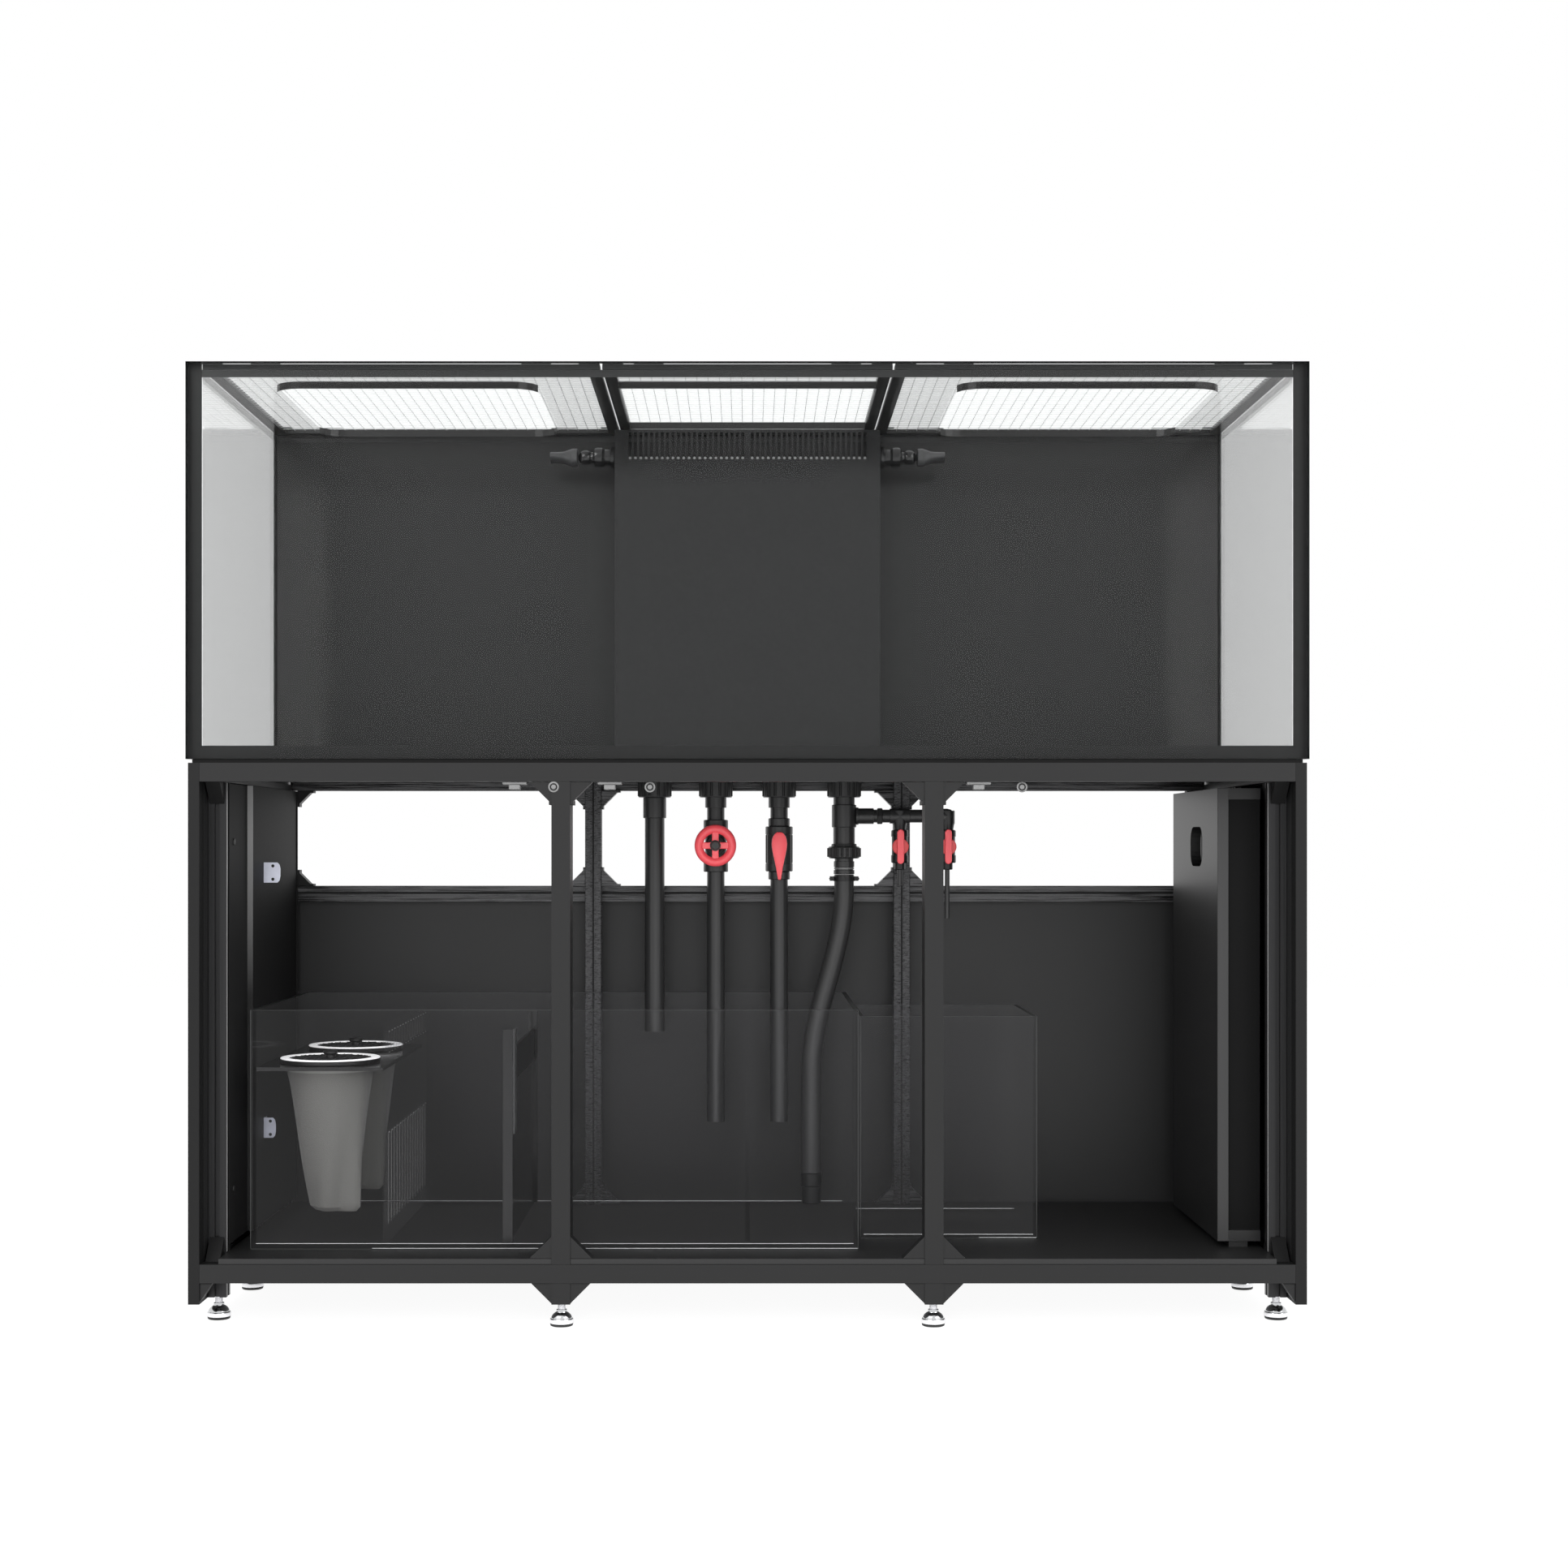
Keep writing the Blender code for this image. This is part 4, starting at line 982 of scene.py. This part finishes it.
def make_ball_valve():
    """The drain with a ribbed ball valve, and the boss that its lever turns on."""
    profile = open_end(0.268, 0.0160, 0.0025) + [(0.711, 0.0160)]
    profile += collar(0.711, 0.7255, 0.0197)
    profile += [(0.7258, 0.0236), (0.7270, 0.0250), (0.7400, 0.0250), (0.7405, 0.0240), (0.7935, 0.0240),
                (0.7940, 0.0250), (0.8068, 0.0250), (0.8080, 0.0236)]
    profile += collar(0.8083, 0.8230, 0.0197) + [(0.8233, 0.0160), (0.842, 0.0160)]
    profile += [(0.8425, 0.0195), (0.861, 0.0195)]
    make_run("ball_valve_run", "ball_valve_pipe", BALL_X, profile)
    make_nut_ribs("ball_valve_facets", BALL_X, 0.7415, 0.7925, 0.0226, 16)
    bm = bmesh.new()
    add_turned(bm, "Y", BALL_X, LEVER_Z, [
        (0.215, 0.0105), (0.1990, 0.0105), (0.1985, 0.0098), (0.1942, 0.0098), (0.1942, 0)])
    make_piece("ball_valve_boss", bm, "pipe_body")


def make_return():
    """The return line with its union nut and tee, then the hose, its clamp and the fitting it ends in."""
    profile = [(0.7205, 0), (0.7205, 0.0170), (0.7210, 0.0190), (0.7280, 0.0190), (0.7285, 0.0168),
               (0.7335, 0.0168), (0.7340, 0.0188), (0.7440, 0.0188), (0.7445, 0.0172), (0.7490, 0.0172),
               (0.7495, 0.0262), (0.7520, 0.0292), (0.7690, 0.0292), (0.7712, 0.0272), (0.7716, 0.0235),
               (0.7760, 0.0228), (0.7765, 0.0198), (0.8060, 0.0198)]
    profile += collar(0.8062, 0.8478, 0.0225) + [(0.8480, 0.0195), (0.861, 0.0195)]
    make_run("return_pipe_run", "return_pipe", RETURN_X, profile)
    make_nut_ribs("union_ribs", RETURN_X, 0.7525, 0.7685, 0.0286, 20)
    bm = bmesh.new()
    add_turned(bm, "Z", RETURN_X, PIPE_Y, [(0.7295, 0.0165), (0.7295, 0.0183), (0.7330, 0.0183),
                                           (0.7330, 0.0165)], closed=True)
    make_piece("union_bright_ring", bm, "catch")
    make_hose()
    make_hose_clamp()

    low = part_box("hose_fitting")[0].z
    profile = [(low, 0), (low, 0.0165), (low + 0.001, 0.0175), (0.1490, 0.0175)]
    bm = bmesh.new()
    add_turned(bm, "Z", HOSE_END_X, PIPE_Y, profile + collar(0.1500, 0.1747, 0.0195) + [(0.1747, 0)])
    make_piece("hose_fitting_body", bm, "pipe_body", stands_for=["hose_fitting"])


def hose_line(rows=60, bend_top=0.690, bend_bottom=0.360):
    """Points down the hose: straight, then one smooth step to the left, then straight again."""
    low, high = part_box("return_hose")
    points = []
    for row in range(rows + 1):
        z = high.z + (low.z - high.z) * row / rows
        share = min(max((bend_top - z) / (bend_top - bend_bottom), 0), 1)
        points.append((RETURN_X + (HOSE_END_X - RETURN_X) * share * share * (3 - 2 * share), PIPE_Y, z))
    return points


def make_hose():
    points = hose_line()
    curve = bpy.data.curves.new("return_hose_line", "CURVE")
    curve.dimensions = "3D"
    curve.bevel_depth = HOSE_RADIUS
    curve.bevel_resolution = 12
    curve.use_fill_caps = True
    line = curve.splines.new("POLY")
    line.points.add(len(points) - 1)
    line.use_smooth = True
    for spot, point in zip(line.points, points):
        spot.co = (*point, 1)
    curve.materials.append(FINISHES["hose"])
    tube = bpy.data.objects.new("return_hose_tube", curve)
    bpy.context.scene.collection.objects.link(tube)
    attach(tube, "root")
    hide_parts("return_hose")


def make_hose_clamp():
    """A band round the top of the hose, with an ear and a screw on each side."""
    low, high = 0.7080, 0.7172
    front = PIPE_Y - 0.0060
    bm = bmesh.new()
    add_turned(bm, "Z", RETURN_X, PIPE_Y, [(low, 0.0180), (low, 0.0198), (high, 0.0198), (high, 0.0180)],
               closed=True)
    for way in (-1, 1):
        add_block(bm, RETURN_X + way * 0.0185, RETURN_X + way * 0.0262, front, PIPE_Y + 0.0060, low + 0.0005,
                  high - 0.0005)
        add_turned(bm, "Y", RETURN_X + way * 0.0245, (low + high) / 2, disc(front - 0.0025, front, 0.0030),
                   24)
    make_piece("hose_clamp", bm, "pipe_body", bevel=0.0003)


def make_manifold():
    """A level pipe with a hexagonal coupling, and two small valves below it with their levers."""
    bm = bmesh.new()
    add_turned(bm, "X", PIPE_Y, MANIFOLD_Z, [
        (0.1985, 0), (0.1985, 0.0160), (0.2030, 0.0160), (0.2035, 0.0145), (0.2310, 0.0145), (0.2315, 0.0120),
        (0.2370, 0.0120), (0.2370, 0)])
    add_turned(bm, "X", PIPE_Y, MANIFOLD_Z, [
        (0.2375, 0), (0.2375, 0.0155), (0.2390, 0.0168), (0.2455, 0.0168), (0.2470, 0.0155), (0.2470, 0)], 6)
    add_turned(bm, "X", PIPE_Y, MANIFOLD_Z, [
        (0.2470, 0), (0.2470, 0.0120), (0.2600, 0.0120), (0.2605, 0.0138), (0.2970, 0.0138), (0.2975, 0.0120),
        (0.3480, 0.0120), (0.3485, 0.0138), (0.3660, 0.0138), (0.3730, 0.0120), (0.3765, 0.0070),
        (0.3775, 0)])
    make_piece("manifold_pipe", bm, "pipe", stands_for=["return_manifold"])
    make_small_valve("inner", 0.700)
    make_small_valve("outer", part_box("return_manifold")[0].z)


def make_small_valve(name, tube_end):
    """A small ball valve with a thin tube below it, and its lever: a disc with a round-ended bar."""
    x = MANIFOLD_VALVES[name]
    bm = bmesh.new()
    add_turned(bm, "Z", x, PIPE_Y, [
        (MANIFOLD_Z + 0.010, 0), (MANIFOLD_Z + 0.010, 0.0138), (0.8140, 0.0138), (0.8110, 0.0126),
        (0.8020, 0.0112), (0.8015, 0.0140), (0.8000, 0.0155), (0.7900, 0.0158), (0.7890, 0.0145),
        (0.7560, 0.0145), (0.7550, 0.0158), (0.7430, 0.0158), (0.7415, 0.0146), (0.7410, 0.0100),
        (0.7300, 0.0100), (0.7290, 0.0088), (0.7285, 0.0050), (0.7280, 0)])
    add_turned(bm, "Y", x, LEVER_Z, [(PIPE_Y - 0.012, 0.0095), (0.2080, 0.0095), (0.2075, 0.0080),
                                     (0.2045, 0.0080), (0.2045, 0)])
    make_piece(f"manifold_valve_{name}", bm, "pipe_body")
    bm = bmesh.new()
    add_loft(bm, [[(u, v, z) for u, v in circle(x, PIPE_Y, 0.0045, 24)]
                  for z in (0.7290, 0.7150, tube_end + 0.004, tube_end)])
    make_piece(f"manifold_tube_{name}", bm, "hose")

    node = f"manifold_lever_{name}"
    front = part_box(node)[0].y
    half_bar = 0.0252
    bm = bmesh.new()
    add_turned(bm, "Y", x, LEVER_Z, [(front + 0.0090, 0), (front + 0.0090, 0.0150), (front + 0.0060, 0.0150),
                                     (front + 0.0050, 0.0140), (front + 0.0050, 0)])
    # The lever's disc is its red darkened as painted shade.
    make_piece(f"{node}_disc", bm, "red_painted_shade", node, [node])
    bm = bmesh.new()
    add_loft(bm, [[(px, front + back, pz)
                   for px, pz in capsule(x, LEVER_Z - half_bar, LEVER_Z + half_bar, radius)]
                  for radius, back in ((0.0062, 0.0062), (0.0062, 0.0012), (0.0054, 0.0002), (0.0030, 0))])
    make_piece(f"{node}_bar", bm, "red", node)


def make_handwheel():
    """A wide round rim on four flat spokes, with a dark nut at the centre."""
    node, x, y, z = "gate_handwheel", GATE_X, 0.168, GATE_Z
    mean, half_across, half_deep = 0.0299, 0.0079, 0.0065
    bm = bmesh.new()
    add_loft(bm, [[(x + (mean + half_across * a) * u, y + half_deep * b, z + (mean + half_across * a) * v)
                   for a, b in circle(0, 0, 1, 28)]
                  for u, v in circle(0, 0, 1, 96)], closed=True)
    make_piece(f"{node}_rim", bm, "red", node, [node])

    section = ((-1, -0.7), (-0.8, -1), (0.8, -1), (1, -0.7), (1, 0.7), (0.8, 1), (-0.8, 1), (-1, 0.7))
    bm = bmesh.new()
    add_turned(bm, "Y", x, z, [(0.1865, 0), (0.1865, 0.0092), (0.1640, 0.0092), (0.1625, 0.0084),
                               (0.1625, 0)], 48)
    for quarter in range(4):
        turn = math.pi * quarter / 2
        along = Vector((math.cos(turn), 0, math.sin(turn)))
        across = Vector((-math.sin(turn), 0, math.cos(turn)))
        rings = []
        for reach, half, deep in ((0.006, 0.0062, 0.0036), (0.014, 0.0058, 0.0034), (0.025, 0.0064, 0.0032)):
            spot = Vector((x, y - 0.0005, z)) + along * reach
            rings.append([spot + across * half * u + Vector((0, deep * v, 0)) for u, v in section])
        add_loft(bm, rings)
    make_piece(f"{node}_spokes", bm, "red", node, bevel=0.0005)
    bm = bmesh.new()
    add_turned(bm, "Y", x, z, [(0.1628, 0), (0.1628, 0.0098), (0.1600, 0.0098), (0.1595, 0.0086),
                               (0.1595, 0.0080), (0.1575, 0.0066), (0.1572, 0)], 40)
    make_piece(f"{node}_nut", bm, "pipe", node)


def make_ball_lever():
    """A leaf-shaped lever with eased edges, widest in its upper third."""
    node = "ball_valve_lever"
    low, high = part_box(node)
    tall = high.z - low.z
    middle = low.z + tall * 0.5
    widths = ((0.008, 0.0022), (0.03, 0.0031), (0.10, 0.0041), (0.25, 0.0063), (0.40, 0.0091), (0.55, 0.0119),
              (0.66, 0.0136), (0.75, 0.0142), (0.84, 0.0134), (0.91, 0.0112), (0.96, 0.0080), (0.99, 0.0042))
    right = [(width, low.z + tall * share) for share, width in widths]
    outline = right + [(-width, z) for width, z in reversed(right)]
    sections = ((1.0, high.y), (1.0, low.y + 0.0022), (0.94, low.y + 0.0006), (0.84, low.y + 0.0001))
    bm = bmesh.new()
    add_loft(bm, [[(BALL_X + u * share, y, middle + (z - middle) * (1 - (1 - share) * 0.3))
                   for u, z in outline]
                  for share, y in sections])
    make_piece(f"{node}_plate", bm, "red", node, [node])


# Small trim


def make_catches():
    """Three catches under the front top rail, and three round bumpers for doors."""
    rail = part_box("front_top_rail")[0]
    under, front = rail.z, rail.y
    bm = bmesh.new()
    for x in (-0.3735, -0.221, 0.371):
        add_block(bm, x - 0.0195, x + 0.0195, front + 0.004, front + 0.024, under - 0.0050, under - TOUCH)
        add_block(bm, x - 0.0090, x + 0.0090, front + 0.002, front + 0.022, under - 0.0130, under - 0.0052)
    make_piece("door_catches", bm, "catch", bevel=0.0012)

    bumpers = ((-0.3105, front - 0.0010), (-0.1565, front + 0.006), (0.4405, front + 0.006))
    for name, finish, reach, out in (("cups", "catch", 0.0086, 0.0), ("rings", "board_edge", 0.0064, 0.0002),
                                     ("faces", "catch", 0.0042, 0.0004)):
        bm = bmesh.new()
        for x, y in bumpers:
            face = y - out
            add_turned(bm, "Y", x, under - 0.0088, [
                (face, 0), (face, reach - 0.0008), (face + 0.0004, reach), (y + 0.0009, reach),
                (y + 0.0009, 0)], 36)
            if y > front:
                add_block(bm, x - 0.004, x + 0.004, y + 0.0010, y + 0.004, under - 0.012, under - TOUCH)
        make_piece(f"door_bumper_{name}", bm, finish)


def make_hinge_plates():
    """Bright folded clips on the left liner, each facing the front with two holes."""
    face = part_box("side_frame_left")[1].x + 0.0003 + LINER
    y = -0.0146
    half, sheet, fold = 0.0175, 0.0016, 0.022
    plates = bmesh.new()
    holes = bmesh.new()
    for z, wide in ((0.284, 0.0212), (0.726, 0.0290)):
        tip = face + wide
        upper = [(tip, 0.0060), (tip - 0.0015, 0.0135), (tip - 0.0050, half), (face, half)]
        outline = [(u, z + v) for u, v in upper] + [(u, z - v) for u, v in reversed(upper)]
        add_prism(plates, "Y", outline, y, y + sheet)
        add_block(plates, face, face + sheet, y + sheet, y + fold, z - half, z + half)
        for off in (-0.0115, 0.0115):
            add_turned(holes, "Y", face + wide * 0.55, z + off, [(y - 0.0002, 0), (y - 0.0002, 0.0026),
                                                                 (y + 0.0001, 0.0028), (y + 0.0001, 0)], 20)
    make_piece("hinge_plates", plates, "zinc", bevel=0.0003)
    make_piece("hinge_plate_screws", holes, "rubber")


def make_post_painted_highlights():
    """Painted highlights: light grey strips up the inner corners of the front corner posts."""
    inner = abs(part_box("side_frame_left")[1].x)
    bm = bmesh.new()
    for side in (-1, 1):
        add_block(bm, side * (inner - 0.0014), side * (inner - 0.0003), -0.2628, -0.2604, 0.1115, 0.874)
    # Painted highlights on the post corners.
    make_piece("corner_post_painted_highlights", bm, "catch", smooth=False)


def make_left_liner():
    """A two-part liner over the left side frame, with a strip at its joint that carries a painted reflection,
    bright at the top and dark lower down, and two bolt heads.
    """
    frame_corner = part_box("side_frame_left")[1]
    face = frame_corner.x + TOUCH
    bottom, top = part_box("floor_panel")[1].z + 0.001, frame_corner.z - TUBE - 0.001
    front, seam, back = -0.247, -0.106, 0.288
    sheet = 0.0012
    bm = bmesh.new()
    add_block(bm, face, face + sheet, front, seam - 0.001, bottom, top)
    add_block(bm, face, face + LINER, seam + 0.001, back, bottom, top)
    add_block(bm, face + LINER - 0.001, face + LINER + 0.0022, back - 0.003, back, bottom, top)
    make_piece("left_liner", bm, "liner", bevel=0.0003, smooth=False)
    bm = bmesh.new()
    # The joint strip carries a painted reflection.
    add_block(bm, face, face + LINER + 0.0006, seam - 0.0008, seam + 0.0008, bottom, top)
    make_piece("left_liner_painted_reflection", bm, "strip", smooth=False)
    head = [(sheet, 0), (sheet, 0.0062), (0.0028, 0.0056), (0.0034, 0.0035), (0.0034, 0)]
    bm = bmesh.new()
    for z in (0.207, 0.779):
        add_turned(bm, "X", -0.214, z, [(face + out, radius) for out, radius in head], 28)
    make_piece("left_liner_bolts", bm, "coated")


def make_panel_brackets():
    """The slanted corner brackets low inside each side panel."""
    for name, way in (("left", 1), ("right", -1)):
        low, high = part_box(f"side_panel_{name}")
        face = high.x if way > 0 else low.x
        bm = bmesh.new()
        add_prism(bm, "Y", [(face, 0.0400), (face + way * 0.020, 0.0700), (face, 0.0700)], low.y + 0.003,
                  low.y + 0.028)
        make_piece(f"panel_bracket_{name}", bm, "coated", bevel=0.0006)


def dress_control_box():
    """Tape on the drawer's front edges, lighter on the left board, and a dark sheet inside its recessed front
    that is painted shade.
    """
    low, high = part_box("control_box")
    inset = 0.0004
    x0, z0, z1 = low.x + DRAWER_BOARD, low.z + DRAWER_BOARD, high.z - DRAWER_BOARD
    tape = low.y - 0.0005, low.y - 0.0001
    bm = bmesh.new()
    add_block(bm, low.x + inset, x0, *tape, low.z + inset, high.z - inset)
    make_piece("control_box_tape", bm, "tape", "control_box", smooth=False)
    bm = bmesh.new()
    add_block(bm, x0 + inset, high.x - inset, *tape, low.z + inset, z0)
    add_block(bm, x0 + inset, high.x - inset, *tape, z1, high.z - inset)
    make_piece("control_box_cross_tape", bm, "board", "control_box", smooth=False)
    # A dark sheet in the recess: painted shade.
    bm = bmesh.new()
    add_block(bm, x0 + 0.0006, high.x - 0.0006, low.y + 0.0050, low.y + 0.0058, z0 + 0.0006, z1 - 0.0006)
    make_piece("control_box_recess_painted_shade", bm, "recess_painted_shade", "control_box", smooth=False)


# Scene


def build_scene():
    dress_panes()
    make_corner_painted_highlights()
    make_overflow()
    for name, side in (("left", -1), ("right", 1)):
        make_nozzle_elbow(name, side)
        make_nozzle_tip(name, side)
    for name in ("left", "centre", "right"):
        make_cover(name)
    make_standpipe_caps()
    dress_cabinet()
    make_back_frame()
    make_groove_inserts()
    make_gusset_feet()
    make_rear_corner_brackets()
    make_side_frames()
    make_panel_liners()
    for node in list(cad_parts):
        if node.startswith("foot_"):
            make_foot(node)
    make_sump()
    make_sock("front")
    make_sock("rear")
    make_drain_pipes()
    make_return()
    make_manifold()
    make_handwheel()
    make_ball_lever()
    make_catches()
    make_post_painted_highlights()
    make_left_liner()
    make_hinge_plates()
    make_panel_brackets()
    dress_control_box()


def add_camera():
    camera = bpy.data.cameras.new("camera")
    camera.lens = 54.6
    camera.sensor_width = 36
    camera.shift_x = 0.0233
    camera.shift_y = 0.0417
    camera.dof.use_dof = False
    obj = bpy.data.objects.new("camera", camera)
    obj.location = (0, -4.133, 0.767)
    obj.rotation_euler = (math.pi / 2, 0, 0)
    bpy.context.scene.collection.objects.link(obj)
    bpy.context.scene.camera = obj


def add_studio():
    """A white studio: even light from all round, three soft lamps and a white floor."""
    scene = bpy.context.scene
    scene.view_settings.view_transform = "Standard"
    world = bpy.data.worlds.new("studio")
    world.use_nodes = True
    background = world.node_tree.nodes["Background"]
    background.inputs["Color"].default_value = (1, 1, 1, 1)
    background.inputs["Strength"].default_value = 1.0
    scene.world = world
    aim = Vector((0, 0, 0.8))
    add_lamp("key", (-2.2, -2.6, 3.4), 2.4, 90, aim)
    add_lamp("fill", (2.6, -2.2, 2.4), 2.4, 50, aim)
    add_lamp("front", (0.0, -4.6, 1.2), 3.0, 190, aim, mirrored=False)

    reach = 9
    bm = bmesh.new()
    add_block(bm, -reach, reach, -reach, reach, -0.02, -0.0002)
    mesh = bpy.data.meshes.new("floor")
    bm.to_mesh(mesh)
    bm.free()
    finish = surface("studio_floor", (0.17, 0.17, 0.17), 0.9, scale=2, bump=0, vary=0.005, specular=0.0)
    shader = finish.node_tree.nodes["Principled BSDF"]
    shader.inputs["Emission Color"].default_value = (1, 1, 1, 1)
    shader.inputs["Emission Strength"].default_value = 0.93
    mesh.materials.append(finish)
    floor = bpy.data.objects.new("floor", mesh)
    scene.collection.objects.link(floor)


def add_lamp(name, place, size, power, aim, mirrored=True):
    """A square soft lamp, which may be kept out of mirror-like reflections."""
    lamp = bpy.data.lights.new(name, "AREA")
    lamp.size = size
    lamp.energy = power
    obj = bpy.data.objects.new(name, lamp)
    obj.location = place
    obj.visible_glossy = mirrored
    obj.rotation_euler = (aim - Vector(place)).to_track_quat("-Z", "Y").to_euler()
    bpy.context.scene.collection.objects.link(obj)


build_scene()
add_camera()
add_studio()
